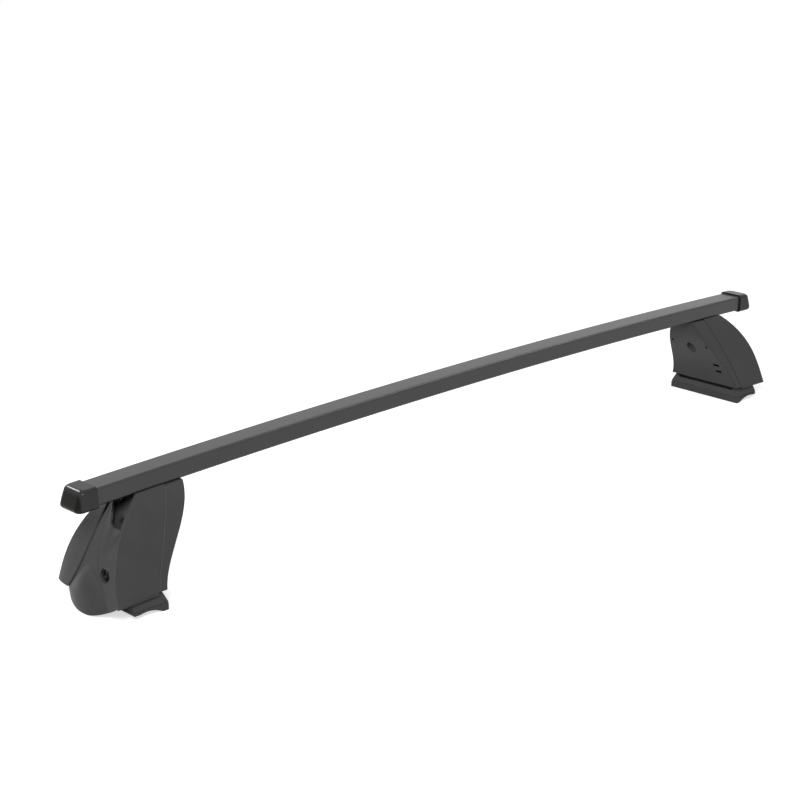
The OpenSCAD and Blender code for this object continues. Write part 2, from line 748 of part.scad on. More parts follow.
module lock_barrel() {
    key_depth = 8;
    color(zinc)
        difference() {
            on_lock(cam_x + cam_t)
                cylinder(d = barrel_d, h = barrel_x - cam_x - cam_t);
            translate([barrel_x - key_depth, -lock_front - key_w / 2, lock_h - barrel_d / 3])
                cube([key_depth + cut, key_w, 2 * barrel_d / 3]);
        }
}

module lock_cam() {
    color(zinc)
        union() {
            on_lock(cam_x)
                cylinder(d = cam_w, h = cam_t);
            translate([cam_x, -lock_front - cam_w / 2, lock_h - cam_reach])
                cube([cam_t, cam_w, cam_reach]);
        }
}

// Base carrier and pad

pad_x = foot_x + pad_dx;
pad_mid_x = pad_x + pad_len / 2;

// Prism along Y from an outline in X and Z
module along_y(outline, half) {
    translate([0, half, 0])
        rotate([90, 0, 0])
            linear_extrude(2 * half)
                polygon(outline);
}

// Prism along X from an outline in Y and Z
module along_x(outline, x0, length) {
    translate([x0, 0, 0])
        rotate([90, 0, 90])
            linear_extrude(length)
                polygon(outline);
}

module base_carrier() {
    ledge_z = base_h - groove_h;
    top_half = pad_half_w - ledge_end_set;
    groove = ledge_set + groove_depth;
    color(black_plastic)
        difference() {
            intersection() {
                along_y([
                    [pad_x, pad_t], [pad_x + pad_len, pad_t], [pad_x + pad_len - ledge_set / 2, base_h],
                    [pad_x + ledge_set, base_h]
                ], pad_half_w);
                along_x([
                    [-pad_half_w, pad_t], [pad_half_w, pad_t], [top_half, base_h], [-top_half, base_h]
                ], pad_x, pad_len);
            }
            for (x = [pad_x - cut, pad_x + pad_len - groove])
                translate([x, groove_block - top_half, ledge_z])
                    cube([groove + cut, 2 * (top_half - groove_block), groove_h + cut]);
            translate([pad_mid_x, 0, 0])
                cylinder(r = roof_screw_d / 2 + hole_gap, h = base_h + cut);
            translate([pad_mid_x, 0, 0])
                cylinder(d = boss_hole_d, h = ledge_z);
        }
}

// Underside of the pad between its lands: a hollow that rises to the outer land
function pad_hollow() =
    let (span = pad_len - 2 * land_w, steps = 12)
    [for (k = [0:steps])
        [pad_x + land_w + span * k / steps, land_step * k / steps + land_rise * sin(180 * k / steps)]];

module roof_pad() {
    chamfer = 1.2;
    color(black_rubber)
        difference() {
            intersection() {
                along_y(concat(
                    [[pad_x, 0]], pad_hollow(),
                    [[pad_x + pad_len, land_step], [pad_x + pad_len, pad_t], [pad_x, pad_t]]
                ), pad_half_w);
                along_x([
                    [-pad_half_w, 0], [pad_half_w, 0], [pad_half_w, pad_t - chamfer],
                    [pad_half_w - chamfer, pad_t], [chamfer - pad_half_w, pad_t], [-pad_half_w, pad_t - chamfer]
                ], pad_x, pad_len);
            }
            translate([pad_mid_x, 0, -cut])
                cylinder(d = boss_hole_d, h = pad_t + 2 * cut);
        }
}

// Fixings

module hex_head(af, h) {
    cylinder(d = af / cos(30), h = h, $fn = 6);
}

module steel_plate() {
    half = rib_y - rib_t / 2 - hole_gap;
    x0 = inner_x(floor_top) + inner_wall + hole_gap;
    color(zinc)
        difference() {
            translate([x0, -half, floor_top])
                cube([2 * (pad_mid_x - x0), 2 * half, plate_t]);
            translate([pad_mid_x, 0, floor_top - cut])
                cylinder(r = roof_screw_d / 2 + hole_gap, h = plate_t + 2 * cut);
        }
}

module roof_washer() {
    color(zinc)
        translate([pad_mid_x, 0, floor_top + plate_t])
            difference() {
                cylinder(r = roof_screw_d, h = washer_t);
                translate([0, 0, -cut])
                    cylinder(r = roof_screw_d / 2 + hole_gap, h = washer_t + 2 * cut);
            }
}

module roof_screw() {
    head_z = floor_top + plate_t + washer_t;
    color(zinc)
        translate([pad_mid_x, 0, 0]) {
            translate([0, 0, roof_tip_h])
                cylinder(d = roof_screw_d, h = roof_thread_len);
            translate([0, 0, roof_tip_h + roof_thread_len - eps])
                cylinder(d = roof_waist_d, h = head_z - roof_tip_h - roof_thread_len + 2 * eps);
            translate([0, 0, head_z])
                hex_head(roof_head_af, roof_head_h);
        }
}

clamp_seat = -bar_h - slide_gap - saddle_t;
nut_plate_z = -bar_h + bar_wall + slide_gap;

module clamp_washer() {
    color(zinc)
        on_bar(foot_x)
            translate([0, 0, clamp_seat - washer_t])
                difference() {
                    cylinder(d = tool_bore_d - 2 * hole_gap, h = washer_t);
                    translate([0, 0, -cut])
                        cylinder(r = clamp_d / 2 + hole_gap, h = washer_t + 2 * cut);
                }
}

module clamp_bolt() {
    color(zinc)
        on_bar(foot_x) {
            translate([0, 0, clamp_seat - washer_t - eps])
                cylinder(d = clamp_d, h = clamp_len + eps);
            translate([0, 0, clamp_seat - washer_t - clamp_head_h])
                hex_head(clamp_head_af, clamp_head_h);
        }
}

module nut_plate() {
    color(zinc)
        on_bar(foot_x)
            translate([0, 0, nut_plate_z])
                difference() {
                    translate([-nut_plate_w / 2, -nut_plate_w / 2, 0])
                        cube([nut_plate_w, nut_plate_w, nut_plate_t]);
                    translate([0, 0, -cut])
                        cylinder(d = clamp_d, h = nut_plate_t + 2 * cut);
                }
}

module housing_screws() {
    head_h = 1.8;
    color(zinc)
        at_housing_screws()
            translate([0, 0, shell_gap / 2]) {
                cylinder(d = 2 * housing_screw_d, h = head_h);
                translate([0, 0, -housing_screw_len])
                    cylinder(d = housing_screw_d, h = housing_screw_len + eps);
            }
}

crossbar_tube();
on_side("left") end_cap();  // left_end_cap
on_side("right") end_cap();  // right_end_cap
on_side("left") foot_body();  // left_foot_body
on_side("right") foot_body();  // right_foot_body
on_side("left") side_housing();  // left_side_housing
on_side("right") side_housing();  // right_side_housing
on_side("left") lock_cover();  // left_lock_cover
on_side("right") lock_cover();  // right_lock_cover
on_side("left") cover_hinge_pin();  // left_cover_hinge_pin
on_side("right") cover_hinge_pin();  // right_cover_hinge_pin
on_side("left") lock_sleeve();  // left_lock_sleeve
on_side("right") lock_sleeve();  // right_lock_sleeve
on_side("left") lock_barrel();  // left_lock_barrel
on_side("right") lock_barrel();  // right_lock_barrel
on_side("left") lock_cam();  // left_lock_cam
on_side("right") lock_cam();  // right_lock_cam
on_side("left") base_carrier();  // left_base_carrier
on_side("right") base_carrier();  // right_base_carrier
on_side("left") roof_pad();  // left_roof_pad
on_side("right") roof_pad();  // right_roof_pad
on_side("left") steel_plate();  // left_steel_plate
on_side("right") steel_plate();  // right_steel_plate
on_side("left") roof_screw();  // left_roof_screw
on_side("right") roof_screw();  // right_roof_screw
on_side("left") roof_washer();  // left_roof_washer
on_side("right") roof_washer();  // right_roof_washer
on_side("left") clamp_bolt();  // left_clamp_bolt
on_side("right") clamp_bolt();  // right_clamp_bolt
on_side("left") clamp_washer();  // left_clamp_washer
on_side("right") clamp_washer();  // right_clamp_washer
on_side("left") nut_plate();  // left_nut_plate
on_side("right") nut_plate();  // right_nut_plate
on_side("left") housing_screws();  // left_housing_screws
on_side("right") housing_screws();  // right_housing_screws
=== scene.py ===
"""Looks of a roof rack crossbar: an arched steel bar on two moulded feet with swinging lock covers.

Sizes are in millimetres in the row frame: X along the bar, Y to the back, Z up from the roof.
Every foot piece is drawn for the right-hand end, and the left-hand one is its mirror image.
"""

import logging
import math
from collections.abc import Callable, Sequence
from dataclasses import dataclass, field
from enum import Enum

import bmesh
import bpy
from mathutils import Matrix, Vector

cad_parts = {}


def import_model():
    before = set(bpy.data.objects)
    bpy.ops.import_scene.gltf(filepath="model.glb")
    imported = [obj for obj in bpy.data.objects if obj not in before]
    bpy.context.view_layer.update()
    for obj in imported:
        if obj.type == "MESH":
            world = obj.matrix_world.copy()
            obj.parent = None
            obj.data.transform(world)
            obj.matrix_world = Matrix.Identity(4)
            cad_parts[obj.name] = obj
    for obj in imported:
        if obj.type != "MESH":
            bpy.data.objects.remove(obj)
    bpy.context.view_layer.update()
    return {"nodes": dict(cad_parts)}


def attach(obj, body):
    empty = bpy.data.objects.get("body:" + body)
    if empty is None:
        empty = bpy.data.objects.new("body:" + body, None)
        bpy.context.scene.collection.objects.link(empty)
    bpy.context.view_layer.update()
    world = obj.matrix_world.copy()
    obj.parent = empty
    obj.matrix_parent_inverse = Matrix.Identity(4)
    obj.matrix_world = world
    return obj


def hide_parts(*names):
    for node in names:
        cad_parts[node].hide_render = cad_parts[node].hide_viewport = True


MM = 0.001
LOG = logging.getLogger("roof_bar")

# Points nearer than this are one point, in millimetres
WELD = 0.0005
# Edges shorter than this are dropped
SLIVER = 0.0002
# A point this near to a line lies on it
NEAR = 0.01
# Length that a cutter runs past the face that it opens
PAST = 1.0
# Largest share of a side that one rounded corner takes
CORNER_SHARE = 0.45
# Edges sharper than this stay crisp, in degrees
CRISP_ANGLE = 35.0
# Faces round a rod, and round a wide one
FACES = 48
WIDE_FACES = 64

Point = tuple[float, float, float]
Row = list[Point]


class Side(Enum):
    """End of the bar that a foot stands at, with the sign of its X."""

    LEFT = -1
    RIGHT = 1

    @property
    def prefix(self) -> str:
        """Start of this side's node and body names."""
        return self.name.lower()


class Slot(Enum):
    """Material slots of the record."""

    BAR = "bar_steel"
    CAP = "cap_plastic"
    MOULDING = "moulding"
    RUBBER = "rubber"
    STEEL = "steel"
    LOCK = "lock"


class Cut(Enum):
    """Ways to join two meshes."""

    TAKE_AWAY = "DIFFERENCE"
    ADD = "UNION"


# Shader building


class Socket:
    """An output socket, with arithmetic that adds Math nodes to its tree."""

    def __init__(self, tree: bpy.types.NodeTree, output: bpy.types.NodeSocket | None) -> None:
        """Wraps an output.

        Args:
            tree: The node tree that holds the output.
            output: The output socket, or nothing for a node without outputs.
        """
        self.tree = tree
        self.output = output

    def _math(self, operation: str, first: object, second: object = 0.0, clamp: bool = False) -> "Socket":
        """Adds one Math node.

        Args:
            operation: The Math node's operation.
            first: First value or socket.
            second: Second value or socket.
            clamp: True to hold the result between 0 and 1.

        Returns:
            The node's result.
        """
        settings = {"operation": operation, "use_clamp": clamp}
        return add_node(self.tree, "ShaderNodeMath", settings, {0: first, 1: second})

    def __add__(self, other: object) -> "Socket":
        """Sum with a number or a socket."""
        return self._math("ADD", self, other)

    __radd__ = __add__

    def __mul__(self, other: object) -> "Socket":
        """Product with a number or a socket."""
        return self._math("MULTIPLY", self, other)

    __rmul__ = __mul__

    def __sub__(self, other: object) -> "Socket":
        """This value less a number or a socket."""
        return self._math("SUBTRACT", self, other)

    def __rsub__(self, other: object) -> "Socket":
        """A number or a socket less this value."""
        return self._math("SUBTRACT", other, self)

    def clamped(self) -> "Socket":
        """This value held between 0 and 1."""
        return self._math("ADD", self, 0.0, clamp=True)

    def size(self) -> "Socket":
        """This value without its sign."""
        return self._math("ABSOLUTE", self)


def add_node(
    tree: bpy.types.NodeTree,
    kind: str,
    settings: dict[str, object] | None = None,
    inputs: dict[int | str, object] | None = None,
    output: int | str = 0,
) -> Socket:
    """Adds a node, sets it up and links it.

    Args:
        tree: The node tree.
        kind: The node's type name.
        settings: Attributes of the node, set first.
        inputs: Values or sockets, by the name or number of the node's input.
        output: Name or number of the output to hand back.

    Returns:
        The chosen output.
    """
    node = tree.nodes.new(kind)
    for name, value in (settings or {}).items():
        setattr(node, name, value)
    for name, value in (inputs or {}).items():
        if isinstance(value, Socket):
            tree.links.new(value.output, node.inputs[name])
        else:
            node.inputs[name].default_value = value
    return Socket(tree, node.outputs[output] if node.outputs else None)


def grey(value: float) -> tuple[float, float, float, float]:
    """A neutral colour with that linear value."""
    return (value, value, value, 1.0)


def new_tree(name: str) -> tuple[bpy.types.Material, bpy.types.NodeTree]:
    """Starts an empty node material.

    Args:
        name: The material's name.

    Returns:
        The material and its tree.
    """
    material = bpy.data.materials.new(name)
    material.use_nodes = True
    material.node_tree.nodes.clear()
    return material, material.node_tree


def place(tree: bpy.types.NodeTree) -> Socket:
    """Position in the object's own space, in metres."""
    return add_node(tree, "ShaderNodeTexCoord", output="Object")


def noise(tree: bpy.types.NodeTree, cell: float, detail: float = 2.0, rough: float = 0.5) -> Socket:
    """Noise over the surface.

    Args:
        tree: The node tree.
        cell: Size of its blotches in millimetres.
        detail: Number of finer octaves.
        rough: How strong the finer octaves are.

    Returns:
        Its value, from 0 to 1.
    """
    inputs = {"Vector": place(tree), "Scale": 1 / (cell * MM), "Detail": detail, "Roughness": rough}
    return add_node(tree, "ShaderNodeTexNoise", inputs=inputs)


def blend(tree: bpy.types.NodeTree, factor: Socket, low: Sequence[float], high: Sequence[float]) -> Socket:
    """Colour between two colours.

    Args:
        tree: The node tree.
        factor: Share of the second colour.
        low: First colour.
        high: Second colour.

    Returns:
        The mixed colour.
    """
    settings = {"data_type": "RGBA"}
    inputs = {0: factor, 6: low, 7: high}
    return add_node(tree, "ShaderNodeMix", settings, inputs, output=2)


def bump(tree: bpy.types.NodeTree, height: Socket, depth: float, strength: float) -> Socket:
    """Normal of a surface with a fine relief.

    Args:
        tree: The node tree.
        height: The relief, from 0 to 1.
        depth: Its depth in millimetres.
        strength: How much of it shows.

    Returns:
        The normal.
    """
    inputs = {"Height": height, "Distance": depth * MM, "Strength": strength}
    return add_node(tree, "ShaderNodeBump", inputs=inputs)


def close_material(tree: bpy.types.NodeTree, inputs: dict[str, object]) -> None:
    """Adds the surface shader and the output.

    Args:
        tree: The node tree.
        inputs: The shader's values and links by name.
    """
    shader = add_node(tree, "ShaderNodeBsdfPrincipled", inputs=inputs)
    add_node(tree, "ShaderNodeOutputMaterial", inputs={"Surface": shader})


@dataclass(frozen=True)
class MouldedPlastic:
    """Grained black plastic of the feet: matte, with a fine spark-eroded grain."""

    name: str = "moulded_plastic"
    dark: Sequence[float] = grey(0.034)
    light: Sequence[float] = grey(0.052)
    roughness: float = 0.39
    shine: float = 0.15
    cloud_cell: float = 26.0
    cloud_share: float = 0.6
    cloud_rough: float = 0.06
    grain_cell: float = 0.55
    grain_rough: float = 0.05
    grain_depth: float = 0.05
    grain_strength: float = 0.35

    def make(self) -> bpy.types.Material:
        """Makes the material.

        Returns:
            The material.
        """
        material, tree = new_tree(self.name)
        cloud = noise(tree, self.cloud_cell, detail=3.0)
        speck = noise(tree, self.grain_cell, detail=1.0)
        tone = cloud * self.cloud_share + speck * (1 - self.cloud_share)
        close_material(tree, {
            "Base Color": blend(tree, tone.clamped(), self.dark, self.light),
            "Roughness": self.roughness + cloud * self.cloud_rough + speck * self.grain_rough,
            "Specular IOR Level": self.shine,
            "Normal": bump(tree, speck, self.grain_depth, self.grain_strength),
        })
        return material


@dataclass(frozen=True)
class PaintedSteel:
    """Satin black powder coat of the bar, with a slight orange peel."""

    name: str = "black_powder_coat"
    dark: Sequence[float] = (0.016, 0.0155, 0.015, 1.0)
    light: Sequence[float] = (0.024, 0.0235, 0.023, 1.0)
    roughness: float = 0.26
    shine: float = 0.4
    cloud_cell: float = 60.0
    cloud_rough: float = 0.05
    peel_cell: float = 1.6
    peel_rough: float = 0.04
    peel_depth: float = 0.03
    peel_strength: float = 0.3

    def make(self) -> bpy.types.Material:
        """Makes the material.

        Returns:
            The material.
        """
        material, tree = new_tree(self.name)
        cloud = noise(tree, self.cloud_cell, detail=2.0)
        peel = noise(tree, self.peel_cell, detail=1.0)
        close_material(tree, {
            "Base Color": blend(tree, cloud, self.dark, self.light),
            "Roughness": self.roughness + cloud * self.cloud_rough + peel * self.peel_rough,
            "Specular IOR Level": self.shine,
            "Normal": bump(tree, peel, self.peel_depth, self.peel_strength),
        })
        return material


@dataclass(frozen=True)
class GlossPlastic:
    """Glossy black plastic of the end caps, with painted shade that colours the nose past the bar's end
    deepest black.
    """

    bar_end: float
    name: str = "gloss_plastic"
    # Painted shade: near-black colour of the nose, whose end face turns away from the light; then the cap's
    # own colour
    shaded_nose: Sequence[float] = (0.003, 0.0026, 0.002, 1.0)
    unshaded_body: Sequence[float] = (0.024, 0.0225, 0.0225, 1.0)
    shaded_nose_start: float = 19.5
    shaded_nose_width: float = 2.0
    roughness: float = 0.17
    shine: float = 0.16
    cloud_cell: float = 14.0
    cloud_wear: float = 0.3
    cloud_rough: float = 0.06
    least_wear: float = 0.85
    ripple_cell: float = 2.4
    ripple_depth: float = 0.02
    ripple_strength: float = 0.2

    def make(self) -> bpy.types.Material:
        """Makes the material.

        Returns:
            The material.
        """
        material, tree = new_tree(self.name)
        cloud = noise(tree, self.cloud_cell, detail=3.0)
        ripple = noise(tree, self.ripple_cell, detail=1.0)
        reach = add_node(tree, "ShaderNodeSeparateXYZ", inputs={0: place(tree)}, output="X").size()
        # Painted shade: the base colour darkens to near black over the nose past the bar's end, with random
        # tone over the rest
        past_start = reach - (self.bar_end + self.shaded_nose_start) * MM
        painted_shade = (past_start * (1 / (self.shaded_nose_width * MM))).clamped()
        tone_and_painted_shade = (1 - painted_shade) * (self.least_wear + cloud * self.cloud_wear)
        close_material(tree, {
            "Base Color": blend(tree, tone_and_painted_shade.clamped(), self.shaded_nose, self.unshaded_body),
            "Roughness": self.roughness + cloud * self.cloud_rough,
            "Specular IOR Level": self.shine,
            "Normal": bump(tree, ripple, self.ripple_depth, self.ripple_strength),
        })
        return material


@dataclass(frozen=True)
class PadRubber:
    """Matte black rubber of the roof pads."""

    name: str = "pad_rubber"
    dark: Sequence[float] = grey(0.014)
    bloom: Sequence[float] = (0.028, 0.027, 0.026, 1.0)
    roughness: float = 0.72
    cloud_cell: float = 18.0
    grit_cell: float = 0.8
    grit_rough: float = 0.16
    grit_depth: float = 0.08
    grit_strength: float = 0.4

    def make(self) -> bpy.types.Material:
        """Makes the material.

        Returns:
            The material.
        """
        material, tree = new_tree(self.name)
        cloud = noise(tree, self.cloud_cell, detail=4.0)
        grit = noise(tree, self.grit_cell, detail=2.0, rough=0.7)
        close_material(tree, {
            "Base Color": blend(tree, cloud, self.dark, self.bloom),
            "Roughness": self.roughness + grit * self.grit_rough,
            "Normal": bump(tree, grit, self.grit_depth, self.grit_strength),
        })
        return material


@dataclass(frozen=True)
class PlatedSteel:
    """Bright metal of the fixings and of the lock, with a spangle or a turned grain."""

    name: str
    dark: Sequence[float]
    light: Sequence[float]
    roughness: float
    cell: float = 1.4
    cloud_cell: float = 9.0
    spangle_share: float = 0.5
    spangle_rough: float = 0.14
    relief_depth: float = 0.02
    relief_strength: float = 0.25

    def make(self) -> bpy.types.Material:
        """Makes the material.

        Returns:
            The material.
        """
        material, tree = new_tree(self.name)
        spangle = noise(tree, self.cell, detail=3.0, rough=0.6)
        cloud = noise(tree, self.cloud_cell, detail=2.0)
        tone = spangle * self.spangle_share + cloud * (1 - self.spangle_share)
        close_material(tree, {
            "Base Color": blend(tree, tone.clamped(), self.dark, self.light),
            "Metallic": 1.0,
            "Roughness": self.roughness + spangle * self.spangle_rough,
            "Normal": bump(tree, spangle, self.relief_depth, self.relief_strength),
        })
        return material


# Mesh building


def rows_mesh(name: str, side: Side, rows: Sequence[Row]) -> bpy.types.Object:
    """Makes a closed mesh between rows of one closed outline each, with a face over each end.

    Args:
        name: The object's name.
        side: End of the bar; the left-hand end is mirrored.
        rows: Outlines with the same number of points, in millimetres.

    Returns:
        The object, linked to the scene.
    """
    work = bmesh.new()
    loops = [[work.verts.new((side.value * p[0] * MM, p[1] * MM, p[2] * MM)) for p in row] for row in rows]
    count = len(rows[0])
    for lower, upper in zip(loops, loops[1:]):
        for j in range(count):
            k = (j + 1) % count
            work.faces.new((lower[j], lower[k], upper[k], upper[j]))
    work.faces.new(list(reversed(loops[0])))
    work.faces.new(loops[-1])
    bmesh.ops.remove_doubles(work, verts=work.verts, dist=WELD * MM)
    bmesh.ops.dissolve_degenerate(work, dist=SLIVER * MM, edges=work.edges)
    bmesh.ops.recalc_face_normals(work, faces=work.faces)
    mesh = bpy.data.meshes.new(name)
    work.to_mesh(mesh)
    work.free()
    piece = bpy.data.objects.new(name, mesh)
    bpy.context.scene.collection.objects.link(piece)
    return piece


def spread(low: float, high: float, count: int) -> list[float]:
    """Evenly spaced values, both ends included.

    Args:
        low: First value.
        high: Last value.
        count: Number of steps.

    Returns:
        The values.
    """
    return [low + (high - low) * i / count for i in range(count + 1)]


def mix(low: float, high: float, share: float) -> float:
    """Value at a share of the way between two values."""
    return low + (high - low) * share


def smooth(start: float, end: float, value: float) -> float:
    """Share that eases from 0 at the start to 1 at the end."""
    s = min(1.0, max(0.0, (value - start) / (end - start)))
    return s * s * (3 - 2 * s)


def arc(first: float, last: float, steps: int) -> list[float]:
    """Evenly spaced angles in radians between two angles in degrees, both included."""
    return [math.radians(angle) for angle in spread(first, last, steps)]


def full_turn(count: int) -> list[float]:
    """Angles in radians of points evenly round a circle."""
    return [2 * math.pi * k / count for k in range(count)]


def round_rod(
    name: str, side: Side, start: Point, axis: Point, length: float, radius: float, count: int = FACES
) -> bpy.types.Object:
    """Makes a cylinder about any axis.

    Args:
        name: The object's name.
        side: End of the bar.
        start: Centre of its first end.
        axis: Direction of its length.
        length: Its length.
        radius: Its radius.
        count: Number of faces round it.

    Returns:
        The object.
    """
    along = Vector(axis).normalized()
    across = along.orthogonal().normalized()
    up = along.cross(across)
    rows = []
    for t in (0.0, length):
        centre = Vector(start) + t * along
        spokes = [math.cos(a) * across + math.sin(a) * up for a in full_turn(count)]
        rows.append([tuple(centre + radius * spoke) for spoke in spokes])
    return rows_mesh(name, side, rows)


def block(name: str, side: Side, low: Point, high: Point) -> bpy.types.Object:
    """Makes a box between two corners."""
    outline = [(low[0], low[1]), (high[0], low[1]), (high[0], high[1]), (low[0], high[1])]
    return rows_mesh(name, side, [[(x, y, z) for x, y in outline] for z in (low[2], high[2])])


def combine(piece: bpy.types.Object, how: Cut, tools: Sequence[bpy.types.Object]) -> bpy.types.Object:
    """Joins meshes and keeps the result in the first.

    Args:
        piece: The mesh that is kept.
        how: What the tools do to it.
        tools: The other meshes, which are deleted.

    Returns:
        The piece.
    """
    for tool in tools:
        modifier = piece.modifiers.new(tool.name, "BOOLEAN")
        modifier.operation = how.value
        modifier.solver = "EXACT"
        modifier.object = tool
    bake(piece)
    for tool in tools:
        bpy.data.objects.remove(tool)
    return piece


def bake(piece: bpy.types.Object) -> None:
    """Gives a piece the mesh that its modifiers make, and drops them.

    Args:
        piece: The piece.
    """
    depsgraph = bpy.context.evaluated_depsgraph_get()
    mesh = bpy.data.meshes.new_from_object(piece.evaluated_get(depsgraph))
    piece.modifiers.clear()
    piece.data = mesh


@dataclass(frozen=True)
class Rounding:
    """Rounding of sharp edges: its width in millimetres, the least angle in degrees and its faces."""

    width: float
    angle: float
    segments: int = 3

    def add_to(self, piece: bpy.types.Object) -> None:
        """Rounds a piece's edges that are sharper than the least angle.

        Args:
            piece: The piece.
        """
        bevel = piece.modifiers.new("edge_rounding", "BEVEL")
        bevel.width = self.width * MM
        bevel.segments = self.segments
        bevel.limit_method = "ANGLE"
        bevel.angle_limit = math.radians(self.angle)
        bevel.miter_outer = "MITER_ARC"


def shade(piece: bpy.types.Object, angle: float = CRISP_ANGLE) -> None:
    """Shades a piece smooth, and keeps its sharp edges crisp.

    Args:
        piece: The piece.
        angle: Edges sharper than this stay crisp, in degrees.
    """
    for polygon in piece.data.polygons:
        polygon.use_smooth = True
    piece.data.set_sharp_from_angle(angle=math.radians(angle))
    weighted = piece.modifiers.new("flat_faces", "WEIGHTED_NORMAL")
    weighted.keep_sharp = True


def rounded_path(corners: Sequence[tuple[float, float, float]], steps: int) -> list[tuple[float, float]]:
    """Rounds the corners of an outline.

    Args:
        corners: Points with the length of outline that each rounding takes; 0 keeps a corner sharp.
        steps: Faces round each rounded corner.

    Returns:
        The outline's points.
    """
    points = []
    for index, (x, y, reach) in enumerate(corners):
        if reach == 0:
            points.append((x, y))
            continue
        corner = Vector((x, y))
        before = Vector(corners[index - 1][:2]) - corner
        after = Vector(corners[(index + 1) % len(corners)][:2]) - corner
        start = corner + before * min(CORNER_SHARE, reach / before.length)
        end = corner + after * min(CORNER_SHARE, reach / after.length)
        for t in spread(0.0, 1.0, steps):
            point = (1 - t) ** 2 * start + 2 * t * (1 - t) * corner + t**2 * end
            points.append((point.x, point.y))
    return points


@dataclass
class Arch:
    """The bar's arch and its section, and where its feet are bolted on."""

    length: float = 1100.0
    rise: float = 9.7
    top: float = 146.0
    width: float = 30.0
    height: float = 20.0
    wall: float = 1.5
    corner: float = 2.6
    foot_inset: float = 85.0
    bolt_hole: float = 3.4

    @property
    def end(self) -> float:
        """Distance of the bar's ends from its middle."""
        return self.length / 2

    @property
    def foot_x(self) -> float:
        """Distance of the clamp bolts from the bar's middle."""
        return self.end - self.foot_inset

    @property
    def radius(self) -> float:
        """Radius of the bar's top surface."""
        return (self.end**2 + self.rise**2) / (2 * self.rise)

    def under(self, x: float) -> float:
        """Height of the bar's underside at a distance from its middle."""
        return self.top - self.radius + math.sqrt((self.radius - self.height) ** 2 - x * x)

    def at(self, along: float, y: float, up: float, station: float = 0.0) -> Point:
        """A point given in the bar's own directions.

        Args:
            along: Distance along the bar's tangent from the station.
            y: Distance to the back.
            up: Height above the bar's top surface.
            station: Distance of the station from the bar's middle.

        Returns:
            The point in the row frame.
        """
        turn = math.asin(station / self.radius)
        reach = self.radius + up
        x = reach * math.sin(turn) + along * math.cos(turn)
        z = self.top - self.radius + reach * math.cos(turn) - along * math.sin(turn)
        return (x, y, z)

    def down(self, station: float) -> Point:
        """Direction square to the bar at a station, down towards its centre of curvature."""
        turn = math.asin(station / self.radius)
        return (-math.sin(turn), 0.0, -math.cos(turn))


def rounded_outline(width: float, height: float, corner: float, steps: int) -> list[tuple[float, float]]:
    """Outline of a rectangle with round corners.

    Args:
        width: Its width.
        height: Its height.
        corner: Corner radius.
        steps: Faces round each corner.

    Returns:
        Points in two directions, anticlockwise.
    """
    points = []
    for quarter, (sx, sy) in enumerate(((1, -1), (1, 1), (-1, 1), (-1, -1))):
        for k in range(steps + 1):
            a = math.radians(90 * quarter + 90 * k / steps - 90)
            points.append((sx * (width / 2 - corner) + corner * math.cos(a),
                           sy * (height / 2 - corner) + corner * math.sin(a)))
    return points


@dataclass
class Finishes:
    """The finishes, made once each."""

    arch: Arch
    made: dict[Slot, bpy.types.Material] = field(init=False)
    black_oxide: bpy.types.Material = field(init=False)

    def __post_init__(self) -> None:
        """Makes every material."""
        steel = PlatedSteel(
            "zinc_plate", dark=(0.42, 0.42, 0.43, 1.0), light=(0.62, 0.62, 0.63, 1.0), roughness=0.32,
        )
        oxide = PlatedSteel(
            "black_oxide", dark=(0.015, 0.015, 0.016, 1.0), light=(0.03, 0.03, 0.032, 1.0), roughness=0.44,
        )
        lock = PlatedSteel(
            "dull_chrome", dark=(0.03, 0.03, 0.031, 1.0), light=(0.08, 0.08, 0.083, 1.0),
            roughness=0.24, cell=0.6,
        )
        self.made = {
            Slot.BAR: PaintedSteel().make(),
            Slot.CAP: GlossPlastic(self.arch.end).make(),
            Slot.MOULDING: MouldedPlastic().make(),
            Slot.RUBBER: PadRubber().make(),
            Slot.STEEL: steel.make(),
            Slot.LOCK: lock.make(),
        }
        self.black_oxide = oxide.make()

    @staticmethod
    def dress(piece: bpy.types.Object, material: bpy.types.Material) -> None:
        """Gives a piece one material in the place of its own."""
        piece.data.materials.clear()
        piece.data.materials.append(material)


@dataclass
class Workshop:
    """What every sub-assembly needs: the frame's nodes, the finishes and the arch."""

    nodes: dict[str, bpy.types.Object]
    finishes: Finishes
    arch: Arch

    def fit(self, piece: bpy.types.Object, node: str, body: str, slot: Slot) -> None:
        """Dresses a new piece and puts it in the place of a node.

        Args:
            piece: The new piece.
            node: The node that it stands for.
            body: The body that it rides on.
            slot: Its material slot.
        """
        self.finishes.dress(piece, self.finishes.made[slot])
        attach(piece, body)
        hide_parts(node)
        LOG.info("%s: %d faces", piece.name, len(piece.data.polygons))

    def dress_node(self, node: str, material: bpy.types.Material, edge: float) -> None:
        """Keeps a node's own mesh, with softened edges and a finish.

        Args:
            node: The node.
            material: Its finish.
            edge: Width of its edge rounding.
        """
        piece = self.nodes[node]
        weld = piece.modifiers.new("weld", "WELD")
        weld.merge_threshold = WELD * MM
        Rounding(edge, CRISP_ANGLE, segments=2).add_to(piece)
        shade(piece)
        self.finishes.dress(piece, material)
        LOG.info("%s: own mesh", node)


